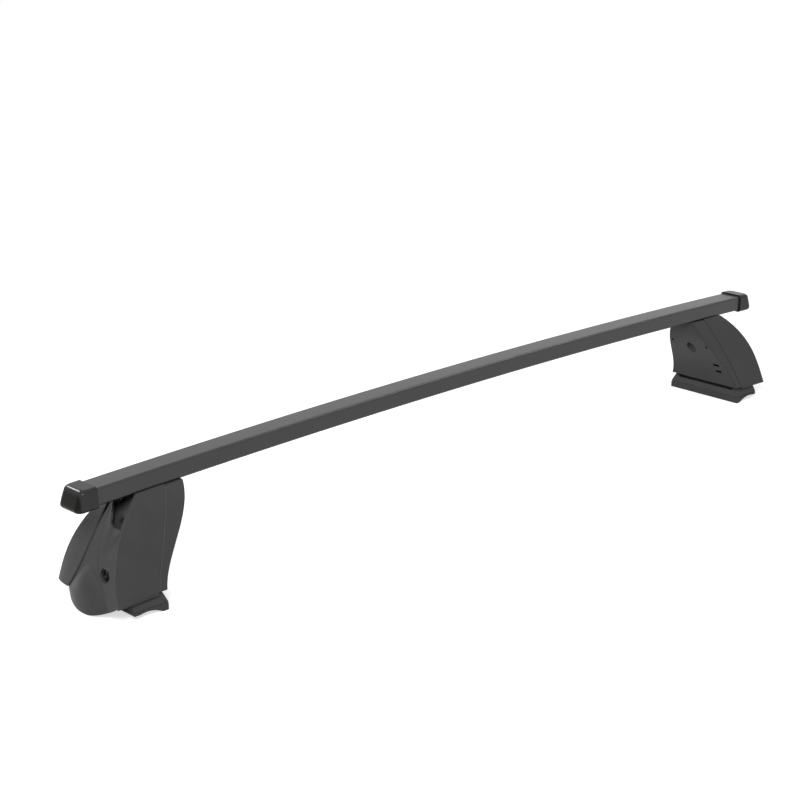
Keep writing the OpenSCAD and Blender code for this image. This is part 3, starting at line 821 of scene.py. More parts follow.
@dataclass
class Bar:
    """The steel bar and its two end caps."""

    shop: Workshop
    stations: int = 110
    corner_steps: int = 6
    crisp_angle: float = 40.0
    bore_past: float = 5.5
    slot_half: float = 15.5
    slot_steps: int = 12
    cap_head: float = 26.5
    cap_lean: float = 8.0
    cap_lean_power: float = 1.2
    cap_nose: float = 5.8
    cap_belly: float = 7.0
    cap_proud: float = 2.2
    cap_wall: float = 2.4
    cap_spigot: float = 26.0
    cap_fit: float = 0.1
    cap_corner: float = 4.0
    cap_plan: float = 6.0
    cap_bevel: float = 3.4
    cap_under: float = 6.0
    cap_steps: int = 10
    cap_level_gap: float = 1.0
    cap_rounding: Rounding = Rounding(0.5, 50.0)
    relief_faces: int = 24

    def section(self, x: float, width: float, height: float, corner: float) -> Row:
        """One section of the bar, square to the arch.

        Args:
            x: Distance of the section from the bar's middle, along the chord.
            width: Its width.
            height: Its height.
            corner: Its corner radius.

        Returns:
            Its outline.
        """
        arch = self.shop.arch
        middle = -arch.height / 2
        outline = rounded_outline(width, height, corner, self.corner_steps)
        return [arch.at(0.0, y, middle + z, station=x) for y, z in outline]

    def build_tube(self) -> None:
        """Builds the tube with the long holes for its clamp bolts."""
        arch = self.shop.arch
        outer = (arch.width, arch.height, arch.corner)
        inner = (arch.width - 2 * arch.wall, arch.height - 2 * arch.wall, arch.corner - arch.wall)
        bore_end = arch.end + self.bore_past
        places = spread(-arch.end, arch.end, self.stations)
        bore_places = spread(-bore_end, bore_end, self.stations)
        tube = rows_mesh("bar_tube", Side.RIGHT, [self.section(x, *outer) for x in places])
        bore = rows_mesh("bar_bore", Side.RIGHT, [self.section(x, *inner) for x in bore_places])
        tube = combine(tube, Cut.TAKE_AWAY, [bore] + [self.bolt_slot(side) for side in Side])
        shade(tube, self.crisp_angle)
        self.shop.fit(tube, "crossbar_tube", "crossbar", Slot.BAR)

    def bolt_slot(self, side: Side) -> bpy.types.Object:
        """Cutter for the long hole in the bar's underside that a clamp bolt slides in.

        Args:
            side: End of the bar.

        Returns:
            The cutter.
        """
        arch = self.shop.arch
        radius = arch.bolt_hole
        half_turn = spread(0.0, math.pi, self.slot_steps)
        outline = [(self.slot_half + radius * math.sin(a), -radius * math.cos(a)) for a in half_turn]
        outline += [(-x, -y) for x, y in outline]
        rows = []
        for up in (-arch.height - PAST, -arch.height + arch.wall + PAST):
            rows.append([arch.at(x, y, up, station=arch.foot_x) for x, y in outline])
        return rows_mesh(f"bolt_slot_{side.prefix}", side, rows)

    def past_end(self, x: float, y: float, z: float) -> Point:
        """A point given by its distance past the tube's end and its place beside the bar's axis."""
        arch = self.shop.arch
        return arch.at(x, y, z - arch.height / 2, station=arch.end)

    def cap_end(self, z: float, top: float) -> float:
        """Reach of the cap's end face.

        Args:
            z: Height above the bar's axis.
            top: Half height of the cap's head.

        Returns:
            Distance past the tube's end.
        """
        up = max(0.0, (z + self.cap_belly) / (top + self.cap_belly))
        down = max(0.0, (-self.cap_belly - z) / (top - self.cap_belly))
        bevel = max(0.0, 1 + (z - top) / self.cap_bevel)
        belly = self.cap_under * (1 - math.sqrt(max(0.0, 1 - down * down)))
        edge = self.cap_bevel * (1 - math.sqrt(max(0.0, 1 - bevel * bevel)))
        return self.cap_head - self.cap_lean * up**self.cap_lean_power - belly - edge

    def cap_row(self, z: float, top: float) -> Row:
        """One level of the cap's head, seen from above.

        Args:
            z: Height above the bar's axis.
            top: Half height of the cap's head.

        Returns:
            Its outline.
        """
        t = max(0.0, 1 + (abs(z) - top) / self.cap_corner)
        half = self.shop.arch.width / 2 + self.cap_proud
        wide = half - self.cap_corner * (1 - math.sqrt(max(0.0, 1 - t * t)))
        end = self.cap_end(z, top)
        r = self.cap_plan
        turns = arc(0.0, 90.0, self.cap_steps)
        flat = [(0.0, -wide)]
        flat += [(end - r + r * math.sin(a), r - wide - r * math.cos(a)) for a in turns]
        flat += [(end - r + r * math.cos(a), wide - r + r * math.sin(a)) for a in turns]
        flat.append((0.0, wide))
        return [self.past_end(x, y, z) for x, y in flat]

    def cap_box(
        self, name: str, side: Side, start: float, end: float, half_w: float, half_h: float
    ) -> bpy.types.Object:
        """Makes a box about the bar's axis.

        Args:
            name: The box's name.
            side: End of the bar.
            start: Distance of its inner end past the tube's end.
            end: Distance of its outer end past the tube's end.
            half_w: Half its width.
            half_h: Half its height.

        Returns:
            The box.
        """
        corners = [(start, -half_w), (end, -half_w), (end, half_w), (start, half_w)]
        rows = [[self.past_end(x, y, z) for x, y in corners] for z in (-half_h, half_h)]
        return rows_mesh(name, side, rows)

    def build_cap(self, side: Side) -> None:
        """Builds one end cap: a spigot and a head with a slanted, rounded nose.

        Args:
            side: End of the bar.
        """
        arch = self.shop.arch
        top = arch.height / 2 + self.cap_proud
        corner = self.cap_corner
        turns = arc(0.0, 90.0, self.cap_steps)
        levels = [-top + corner - corner * math.cos(a) for a in turns]
        levels += spread(-self.cap_belly, top - corner - self.cap_level_gap, self.cap_steps)
        levels += [top - corner + corner * math.sin(a) for a in turns]
        cap = rows_mesh(f"{side.prefix}_cap", side, [self.cap_row(z, top) for z in levels])
        half_w = arch.width / 2 - arch.wall - self.cap_fit
        half_h = arch.height / 2 - arch.wall - self.cap_fit
        spigot = self.cap_box("spigot", side, -self.cap_spigot, self.cap_wall, half_w, half_h)
        cut_start = -self.cap_spigot - PAST
        pocket_end = self.cap_head - self.cap_lean - self.cap_nose
        pocket_w, pocket_h = half_w - self.cap_wall, half_h - self.cap_wall
        cutters = [self.cap_box("cap_pocket", side, cut_start, pocket_end, pocket_w, pocket_h)]
        relief_r = arch.corner - arch.wall
        for y in (-half_w, half_w):
            for z in (-half_h, half_h):
                start = self.past_end(cut_start, y, z)
                axis = tuple(Vector(self.past_end(0.0, y, z)) - Vector(start))
                relief = round_rod("relief", side, start, axis, -cut_start, relief_r, self.relief_faces)
                cutters.append(relief)
        self.cap_rounding.add_to(cap)
        cap = combine(cap, Cut.ADD, [spigot])
        cap = combine(cap, Cut.TAKE_AWAY, cutters)
        shade(cap, self.crisp_angle)
        self.shop.fit(cap, f"{side.prefix}_end_cap", "crossbar", Slot.CAP)


@dataclass
class FootShape:
    """Outline of a foot, as distances that change with the height above the roof."""

    arch: Arch
    pad_length: float = 44.0
    roof_screw_hole: float = 4.4
    skirt: float = 18.0
    inner_skirt: float = 22.0
    slide_gap: float = 0.3
    web_depth: float = 16.0
    web_t: float = 2.5
    shell_t: float = 2.8
    shell_gap: float = 0.2
    edge: float = 1.2
    inner_curve: Sequence[float] = (-23.5, -19.5, 27.0, 31.5)
    panel_curve: Sequence[float] = (1.0, 15.0, 32.5, 43.5)
    rim_curve: Sequence[float] = (38.0, 84.5, 92.5, 95.5)
    width_curve: Sequence[float] = (17.5, 38.0, 45.5, 57.48)
    wing_curve: Sequence[float] = (17.0, -1.0, 5.0, 31.5)
    crease_curve: Sequence[float] = (15.0, -8.0, -8.0, -34.0)
    lock_y: float = -28.6
    lock_h: float = 46.6
    hinge_dx: float = 41.0
    hinge_drop: float = 10.0
    hinge_wall: float = 2.0
    pin_r: float = 1.5
    cover_gap: float = 0.6
    scoop_widening: float = 4.0
    scoop_drop: float = 31.0
    scoop_h: float = 30.0
    scoop_sweep: float = 10.0
    neck_back: float = 14.0
    neck_spread: float = 0.56
    neck_lip: float = 0.9
    neck_wedge: float = 2.6

    @property
    def foot_x(self) -> float:
        """Distance of the clamp bolt from the bar's middle."""
        return self.arch.foot_x

    @property
    def top(self) -> float:
        """Height of the bar's underside over the clamp bolt."""
        return self.arch.under(self.foot_x)

    @property
    def pad_start(self) -> float:
        """Inner end of the pad, under the foot's inner face."""
        return self.foot_x + self.inner_curve[-1]

    @property
    def pad_middle(self) -> float:
        """Middle of the pad along the bar."""
        return self.pad_start + self.pad_length / 2

    def drop(self, h: float) -> float:
        """Share of the way down from the bar to the skirt."""
        return (self.top - max(h, self.skirt)) / (self.top - self.skirt)

    def curve(self, controls: Sequence[float], h: float) -> float:
        """Value of a curve with four control values, at a height.

        Args:
            controls: The control values, from the bar down to the skirt.
            h: The height.

        Returns:
            The value.
        """
        t = self.drop(h)
        u = 1 - t
        a, b, c, d = controls
        return a * u**3 + 3 * b * t * u**2 + 3 * c * t**2 * u + d * t**3

    def inner_x(self, h: float) -> float:
        """Inner face of the foot."""
        return self.foot_x + self.curve(self.inner_curve, h)

    def panel_x(self, h: float) -> float:
        """Inner edge of the side panels."""
        return self.foot_x + self.curve(self.panel_curve, h)

    def rim_x(self, h: float) -> float:
        """Outer rim of the housing."""
        return self.foot_x + self.curve(self.rim_curve, h)

    def web_x(self, h: float) -> float:
        """Outer face of the web behind the cover."""
        return self.rim_x(h) - self.web_depth

    def body_x(self, h: float) -> float:
        """Outer face of the foot body."""
        return self.web_x(h) - self.web_t - self.shell_gap

    def half_w(self, h: float) -> float:
        """Half width of the foot."""
        return self.curve(self.width_curve, h)

    def wing_y(self, h: float) -> float:
        """Edge of the wing beside the lock cover."""
        return self.curve(self.wing_curve, h)

    def crease_y(self, h: float) -> float:
        """Crease between the cover's tongue and its lock side."""
        return self.curve(self.crease_curve, h)

    @property
    def hinge(self) -> tuple[float, float]:
        """Place of the cover's hinge pin: distance from the bar's middle and height."""
        return self.foot_x + self.hinge_dx, self.top - self.hinge_drop

    @property
    def ear_r(self) -> float:
        """Radius of the hinge's lug and ears."""
        return self.pin_r + self.hinge_wall

    @property
    def lug(self) -> tuple[float, float]:
        """Front and back of the hinge lug, measured back from the bar's axis."""
        height = self.hinge[1]
        return self.neck_front(height), self.cover_back(height)

    @property
    def scoop_top(self) -> float:
        """Height of the lock side's upper edge."""
        return self.top - self.scoop_drop

    def neck_front(self, h: float) -> float:
        """Front edge of the cover's neck."""
        return self.crease_y(h) - self.neck_lip - self.neck_spread * max(0.0, self.hinge[1] - h)

    def panel_front(self, h: float) -> float:
        """Front edge of the cover's lock side, beside the side panel."""
        hollow = smooth(self.scoop_top - self.scoop_h, self.scoop_top, h)
        return self.shell_t + self.cover_gap * (1 + self.scoop_widening * hollow) - self.half_w(h)

    def cover_front(self, h: float) -> float:
        """Front edge of the cover, which sweeps from the side panel up to the neck.

        Args:
            h: The height.

        Returns:
            Its distance to the back of the bar's axis.
        """
        half = self.scoop_sweep / 2
        swept = smooth(self.scoop_top - half, self.scoop_top + half, h)
        return mix(self.panel_front(h), self.neck_front(h), swept)

    def cover_back(self, h: float) -> float:
        """Back edge of the cover, beside the wing.

        Args:
            h: The height.

        Returns:
            Its distance to the back of the bar's axis.
        """
        hinge_h = self.hinge[1]
        wing = self.wing_y(h)
        edge = min(wing, self.neck_back) if h > hinge_h else wing
        return edge - self.cover_gap - self.neck_wedge * smooth(self.scoop_top, hinge_h, h)

    def seat_z(self, h: float, x: float) -> float:
        """Height of a point of a row; the top row follows the bar.

        Args:
            h: Height of the row.
            x: Distance of the point from the bar's middle.

        Returns:
            The point's height.
        """
        if h >= self.top:
            return self.arch.under(x) - self.slide_gap
        return h


@dataclass
class FootBody:
    """Inner moulding of a foot, with its tool bore, pockets and small holes."""

    shop: Workshop
    shape: FootShape
    side: Side
    rows: int = 64
    floor_t: float = 6.0
    saddle_t: float = 8.0
    inner_wall: float = 3.5
    side_wall: float = 3.0
    rib_y: float = 13.0
    rib_t: float = 2.5
    tool_bore: float = 13.0
    tool_wall: float = 3.0
    least_pocket: float = 1.0
    pin_hole: float = 3.6
    pin_y: float = 28.7
    pin_h: float = 83.4
    pin_faces: int = 32
    slot_len: float = 10.0
    slot_h: float = 3.6
    slot_pitch: float = 10.5
    slot_shift: float = 2.4
    seam: float = 1.8
    corner: float = 2.0
    corner_steps: int = 5
    columns: int = 28
    rounding: Rounding = Rounding(0.5, 50.0)

    def outline(self, h: float) -> Row:
        """Outline of the body.

        Args:
            h: The height.

        Returns:
            The outline.
        """
        s = self.shape
        inner, panel, outer = s.inner_x(h), s.panel_x(h) - s.shell_gap, s.body_x(h)
        wide = s.half_w(h)
        narrow = wide - s.shell_t - s.shell_gap
        corners = [
            (inner, -wide, self.corner), (panel, -wide, self.seam), (panel, -narrow, 0), (outer, -narrow, 0),
            (outer, narrow, 0), (panel, narrow, 0), (panel, wide, self.seam), (inner, wide, self.corner),
        ]
        flat = rounded_path(corners, self.corner_steps)
        flat += [(inner, y) for y in spread(wide - self.corner, self.corner - wide, self.columns)[1:-1]]
        return [(x, y, s.seat_z(h, x)) for x, y in flat]

    def pocket(
        self, name: str, span: Callable[[float], tuple[float, float]], start: float
    ) -> bpy.types.Object:
        """Cutter for one pocket behind the web.

        Args:
            name: The cutter's name.
            span: Gives the pocket's two sides, measured back from the bar's axis, at a height.
            start: Least distance of the pocket from the bar's middle.

        Returns:
            The cutter.
        """
        s = self.shape
        low = s.inner_skirt + self.floor_t
        high = s.top - s.slide_gap - self.saddle_t
        rows = []
        for h in spread(low, high, self.rows // 2):
            y0, y1 = span(h)
            if y1 - y0 < self.least_pocket:
                continue
            inner = max(s.inner_x(h) + self.inner_wall, start)
            outer = s.body_x(h) + PAST
            rows.append([(inner, y0, h), (outer, y0, h), (outer, y1, h), (inner, y1, h)])
        return rows_mesh(name, self.side, rows)

    def holes(self) -> list[bpy.types.Object]:
        """Cutters for the bores, the small holes and the slots.

        Returns:
            The cutters.
        """
        s = self.shape
        arch = s.arch
        down = arch.down(s.foot_x)
        saddle_top = -arch.height - s.slide_gap
        saddle_low = saddle_top - self.saddle_t
        tool_start = arch.at(0, 0, saddle_low, s.foot_x)
        bolt_start = arch.at(0, 0, saddle_top + PAST, s.foot_x)
        bolt_depth = self.saddle_t + 3 * PAST
        roof_start = (s.pad_middle, 0, 0)
        roof_depth = s.inner_skirt + self.floor_t + PAST
        cutters = [
            round_rod("tool_bore", self.side, tool_start, down, s.top, self.tool_bore / 2),
            round_rod("bolt_hole", self.side, bolt_start, down, bolt_depth, arch.bolt_hole),
            round_rod("roof_hole", self.side, roof_start, (0, 0, 1), roof_depth, s.roof_screw_hole),
        ]
        depth = 3 * self.inner_wall
        for y in (-self.pin_y, self.pin_y):
            start = (s.inner_x(self.pin_h) - self.inner_wall, y, self.pin_h)
            cutters.append(round_rod(
                f"pin_hole_{y:.0f}", self.side, start, (1, 0, 0), depth, self.pin_hole / 2, self.pin_faces))
        x0 = s.inner_x(s.lock_h) - depth
        y0 = s.lock_y - self.slot_shift - self.slot_len / 2
        for k in range(2):
            low = s.lock_h + self.slot_pitch * (0.5 - k)
            high_corner = (x0 + 2 * depth, y0 + self.slot_len, low + self.slot_h)
            cutters.append(block(f"slot_{k}", self.side, (x0, y0, low), high_corner))
        return cutters

    def build(self) -> None:
        """Builds the body and puts it in its node's place."""
        s = self.shape
        heights = spread(s.inner_skirt, s.top, self.rows)
        body = rows_mesh(f"{self.side.prefix}_body", self.side, [self.outline(h) for h in heights])
        rib_in = self.rib_y - self.rib_t / 2
        rib_out = self.rib_y + self.rib_t / 2

        def side_inner(h: float) -> float:
            """Inner side of the body's side wall at a height."""
            return s.half_w(h) - s.shell_t - s.shell_gap - self.side_wall

        tower = s.foot_x + self.tool_bore / 2 + self.tool_wall
        cutters = [
            self.pocket("middle_pocket", lambda h: (-rib_in, rib_in), tower),
            self.pocket("front_pocket", lambda h: (-side_inner(h), -rib_out), 0.0),
            self.pocket("back_pocket", lambda h: (rib_out, side_inner(h)), 0.0),
        ]
        self.rounding.add_to(body)
        body = combine(body, Cut.TAKE_AWAY, cutters + self.holes())
        shade(body)
        prefix = self.side.prefix
        self.shop.fit(body, f"{prefix}_foot_body", f"{prefix}_foot", Slot.MOULDING)


@dataclass
class Housing:
    """Outer moulding of a foot: side panels, rim, wing and the web behind the cover."""

    shop: Workshop
    shape: FootShape
    side: Side
    rows: int = 64
    wing_sweep: float = 5.5
    rim_round: float = 3.4
    panel_round: float = 1.0
    wing_round: float = 2.0
    bulge_at: float = 0.55
    bulge_sweep: float = 0.25
    bulge_round: float = 9.0
    lip: float = 1.2
    window_half: float = 11.0
    window_low: float = 28.0
    window_high: float = 78.0
    barrel_r: float = 6.0
    cam_reach: float = 13.0
    lock_room_low: float = 1.5
    lock_room_high: float = 8.0
    ear_t: float = 3.0
    ear_gap: float = 0.3
    ear_steps: int = 16
    pin_bore_front: float = -10.0
    pin_bore_back: float = 25.0
    corner_steps: int = 6
    window_steps: int = 12
    rounding: Rounding = Rounding(0.4, 50.0)

    def outline(self, h: float) -> Row:
        """Outline of the housing, whose top row follows the bar and whose lowest row slopes outwards.

        Args:
            h: The height.

        Returns:
            The outline.
        """
        s = self.shape
        wide, panel, rim, web = s.half_w(h), s.panel_x(h), s.rim_x(h), s.web_x(h)
        sweep = self.wing_sweep * s.drop(h)
        wing = min(s.wing_y(h), wide - 2 * s.shell_t)
        inside = wide - s.shell_t
        corners = [
            (panel, -wide, self.panel_round), (rim, -wide, self.rim_round), (rim - s.edge / 2, -inside, 0),
            (web, -inside, 0), (web, inside, 0),
            (rim - sweep - s.shell_t, inside, 0), (rim - s.shell_t, wing, 0), (rim, wing, self.wing_round),
            (rim - sweep * self.bulge_sweep, mix(wing, wide, self.bulge_at), self.bulge_round),
            (rim - sweep, wide, self.rim_round), (panel, wide, self.panel_round), (panel, inside, 0),
            (web - s.web_t, inside, 0), (web - s.web_t, -inside, 0), (panel, -inside, 0),
        ]
        flat = rounded_path(corners, self.corner_steps)
        if h >= s.top:
            lips = [self.lip if abs(y) >= inside - NEAR else 0.0 for _, y in flat]
            return [(x, y, s.seat_z(h, x) + lip) for (x, y), lip in zip(flat, lips)]
        if h > s.skirt:
            return [(x, y, h) for x, y in flat]
        low_panel, low_rim = s.panel_x(s.skirt), s.rim_x(s.skirt)
        return [(x, y, mix(s.inner_skirt, s.skirt, (x - low_panel) / (low_rim - low_panel))) for x, y in flat]

    def ears(self) -> list[bpy.types.Object]:
        """The two ears that hold the cover's hinge pin.

        Returns:
            The ears.
        """
        s = self.shape
        hinge_x, hinge_h = s.hinge
        lug_front, lug_back = s.lug
        low = hinge_h - s.ear_r
        turns = arc(90.0, -90.0, self.ear_steps)
        outline = [(hinge_x + s.ear_r * math.cos(a), hinge_h + s.ear_r * math.sin(a)) for a in turns]
        outline += [(s.web_x(low) - s.web_t / 2, low), (s.web_x(hinge_h) - s.web_t / 2, hinge_h)]
        ears = []
        for place_y in (lug_front - self.ear_gap - self.ear_t, lug_back + self.ear_gap):
            rows = [[(x, y, z) for x, z in outline] for y in (place_y, place_y + self.ear_t)]
            ears.append(rows_mesh(f"ear_{place_y:.0f}", self.side, rows))
        return ears

    def window(self, name: str, middle: float, half: float, low: float, high: float) -> bpy.types.Object:
        """Cutter for a window in the web, which follows the web's slope.

        Args:
            name: The cutter's name.
            middle: Its middle, measured back from the bar's axis.
            half: Half its width.
            low: Its lower edge.
            high: Its upper edge.

        Returns:
            The cutter.
        """
        s = self.shape
        rows = []
        for h in spread(low, high, self.window_steps):
            x0, x1 = s.web_x(h) - s.web_t - PAST, s.web_x(h) + PAST
            y0, y1 = middle - half, middle + half
            rows.append([(x0, y0, h), (x1, y0, h), (x1, y1, h), (x0, y1, h)])
        return rows_mesh(name, self.side, rows)

    def openings(self) -> list[bpy.types.Object]:
        """Cutters for the web's windows and for the hinge pin's bore.

        Returns:
            The cutters.
        """
        s = self.shape
        hinge_x, hinge_h = s.hinge
        # The pin's bore runs on through the back panel, where the pin is driven in
        bore_start = (hinge_x, self.pin_bore_front, hinge_h)
        bore_length = self.pin_bore_back - self.pin_bore_front
        lock_half = self.barrel_r + s.cover_gap
        lock_low = s.lock_h - self.cam_reach - self.lock_room_low
        lock_high = s.lock_h + self.barrel_r + self.lock_room_high
        return [
            self.window("roof_window", 0.0, self.window_half, self.window_low, self.window_high),
            self.window("lock_window", s.lock_y, lock_half, lock_low, lock_high),
            round_rod("pin_bore", self.side, bore_start, (0, 1, 0), bore_length, s.pin_r),
        ]

    def build(self) -> None:
        """Builds the housing and puts it in its node's place."""
        s = self.shape
        heights = spread(s.skirt, s.top, self.rows)
        shell = rows_mesh(f"{self.side.prefix}_housing", self.side, [self.outline(h) for h in heights])
        self.rounding.add_to(shell)
        shell = combine(shell, Cut.ADD, self.ears())
        shell = combine(shell, Cut.TAKE_AWAY, self.openings())
        shade(shell)
        prefix = self.side.prefix
        self.shop.fit(shell, f"{prefix}_side_housing", f"{prefix}_foot", Slot.MOULDING)


@dataclass
class LockCover:
    """Swinging cover: a tongue that widens from a narrow neck to a dome, and the lock side beside it."""

    shop: Workshop
    shape: FootShape
    side: Side
    step: float = 1.2
    thick: float = 2.8
    draft: float = 1.8
    crease_step: float = 0.4
    scoop_depth: float = 8.5
    neck_drop: float = 5.5
    dome_rise: float = 9.0
    dome_blunt: float = 3.0
    dome_half_h: float = 36.0
    dome_h: float = 14.0
    lowest_y: float = -10.0
    low_edge: float = 0.8
    arc_back: float = 44.5
    arc_front: float = 44.0
    arc_front_power: float = 1.6
    curl: float = 0.6
    sleeve_r: float = 8.0
    boss_gap: float = 1.0
    bore_gap: float = 0.05
    tongue_columns: int = 44
    lock_columns: int = 16
    main_rows: int = 56
    sweep_rows: int = 16
    skirt_rows: int = 18
    neck_rows: int = 12
    rounding: Rounding = Rounding(0.45, 45.0)

    def dome(self, across: float, h: float) -> float:
        """Rise of the dome over the tongue, at a share of the way from its crease to the wing."""
        away = (2 * across - 1) ** 2 + abs((h - self.dome_h) / self.dome_half_h) ** self.dome_blunt
        return self.dome_rise * max(0.0, 1 - away)

    def scoop(self, y: float, h: float) -> float:
        """Depth of the lock side below the tongue; it deepens upwards and towards the side panel.

        Args:
            y: Distance to the back of the bar's axis.
            h: The height.

        Returns:
            The depth.
        """
        s = self.shape
        up = smooth(s.scoop_top - s.scoop_h, s.scoop_top, h)
        across = smooth(s.neck_front(s.scoop_top), s.panel_front(s.scoop_top), y)
        return self.crease_step + self.scoop_depth * up * across

    def edge_z(self, y: float) -> float:
        """Height of the cover's lower edge: a round arc behind its lowest point, a flatter one before it.

        Args:
            y: Distance to the back of the bar's axis.

        Returns:
            The height.
        """
        skirt = self.shape.skirt
        behind = y - self.lowest_y
        if behind > 0:
            return mix(skirt, self.low_edge, math.sqrt(max(0.0, 1 - (behind / self.arc_back) ** 2)))
        return mix(self.low_edge, skirt, min(1.0, (-behind / self.arc_front) ** self.arc_front_power))

    def row(self, h: float, low: float) -> Row:
        """One row of the cover: outer points from front to back, then inner points back again.

        Args:
            h: Height of the row.
            low: 0 above the skirt, up to 1 at the lower edge.

        Returns:
            The row.
        """
        s = self.shape
        crease, front = s.crease_y(h), s.cover_front(h)
        face = s.rim_x(h) - self.step - self.curl * low * low
        # The lock side stops short of the crease by one step, or by a third of itself where it is narrow
        lock_end = crease - min(self.step, (crease - front) / 3)
        points = []
        for y in spread(front, lock_end, self.lock_columns):
            points.append((face - self.scoop(y, h), y, mix(h, self.edge_z(y), low)))
        for across in spread(0.0, 1.0, self.tongue_columns):
            y = mix(crease, s.cover_back(h), across)
            z = mix(h, self.edge_z(y), low)
            points.append((face + self.dome(across, z), y, z))
        draft = self.draft * (1 - smooth(s.scoop_top, s.scoop_top + s.scoop_sweep, h))
        start, end = points[0][1] + draft, points[-1][1] - draft
        inner = [(x - self.thick, min(max(y, start), end), z + low * s.edge) for x, y, z in reversed(points)]
        return points + inner

    def shell(self) -> bpy.types.Object:
        """Makes the cover's sheet.

        Returns:
            The sheet.
        """
        s = self.shape
        sweep_low = s.scoop_top - s.scoop_sweep / 2
        sweep_high = sweep_low + s.scoop_sweep
        heights = spread(s.skirt, sweep_low, self.main_rows)
        heights += spread(sweep_low, sweep_high, self.sweep_rows)[1:]
        heights += spread(sweep_high, s.top - self.neck_drop, self.neck_rows)[1:]
        rows = [self.row(s.skirt, 1 - k / self.skirt_rows) for k in range(self.skirt_rows)]
        rows += [self.row(h, 0.0) for h in heights]
        return rows_mesh(f"{self.side.prefix}_cover_shell", self.side, rows)

    def boss(self, start: float) -> bpy.types.Object:
        """Boss behind the sheet that holds the lock's sleeve; its end follows the sheet's slope.

        Args:
            start: Distance of its inner end from the bar's middle.

        Returns:
            The boss.
        """
        s = self.shape
        radius = self.sleeve_r + self.thick
        inset = self.step + self.crease_step + self.thick / 2
        turns = full_turn(WIDE_FACES)
        ring = [(s.lock_y + radius * math.cos(a), s.lock_h + radius * math.sin(a)) for a in turns]
        rows = [[(start, y, z) for y, z in ring], [(s.rim_x(z) - inset, y, z) for y, z in ring]]
        return rows_mesh("lock_boss", self.side, rows)

    def build(self) -> None:
        """Builds the cover and puts it in its node's place."""
        s = self.shape
        hinge_x, hinge_h = s.hinge
        lug_front, lug_back = s.lug
        lug_len = lug_back - lug_front
        boss_x = s.web_x(s.lock_h - self.sleeve_r - self.thick) + self.boss_gap
        arm_end = s.rim_x(hinge_h) - self.step - self.thick / 2
        arm_low = (hinge_x, lug_front, hinge_h - s.ear_r)
        arm_high = (arm_end, lug_back, hinge_h + s.ear_r)
        additions = [
            self.boss(boss_x),
            round_rod("lug", self.side, (hinge_x, lug_front, hinge_h), (0, 1, 0), lug_len, s.ear_r),
            block("lug_arm", self.side, arm_low, arm_high),
        ]
        lock_start = (boss_x - PAST, s.lock_y, s.lock_h)
        lock_depth = s.rim_x(s.lock_h) - boss_x + self.dome_rise
        pin_start = (hinge_x, lug_front - PAST, hinge_h)
        pin_bore = s.pin_r + self.bore_gap
        cutters = [
            round_rod("lock_bore", self.side, lock_start, (1, 0, 0), lock_depth, self.sleeve_r, WIDE_FACES),
            round_rod("lug_bore", self.side, pin_start, (0, 1, 0), lug_len + 2 * PAST, pin_bore),
        ]
        cover = self.shell()
        self.rounding.add_to(cover)
        cover = combine(cover, Cut.ADD, additions)
        cover = combine(cover, Cut.TAKE_AWAY, cutters)
        shade(cover)
        prefix = self.side.prefix
        self.shop.fit(cover, f"{prefix}_lock_cover", f"{prefix}_cover", Slot.MOULDING)


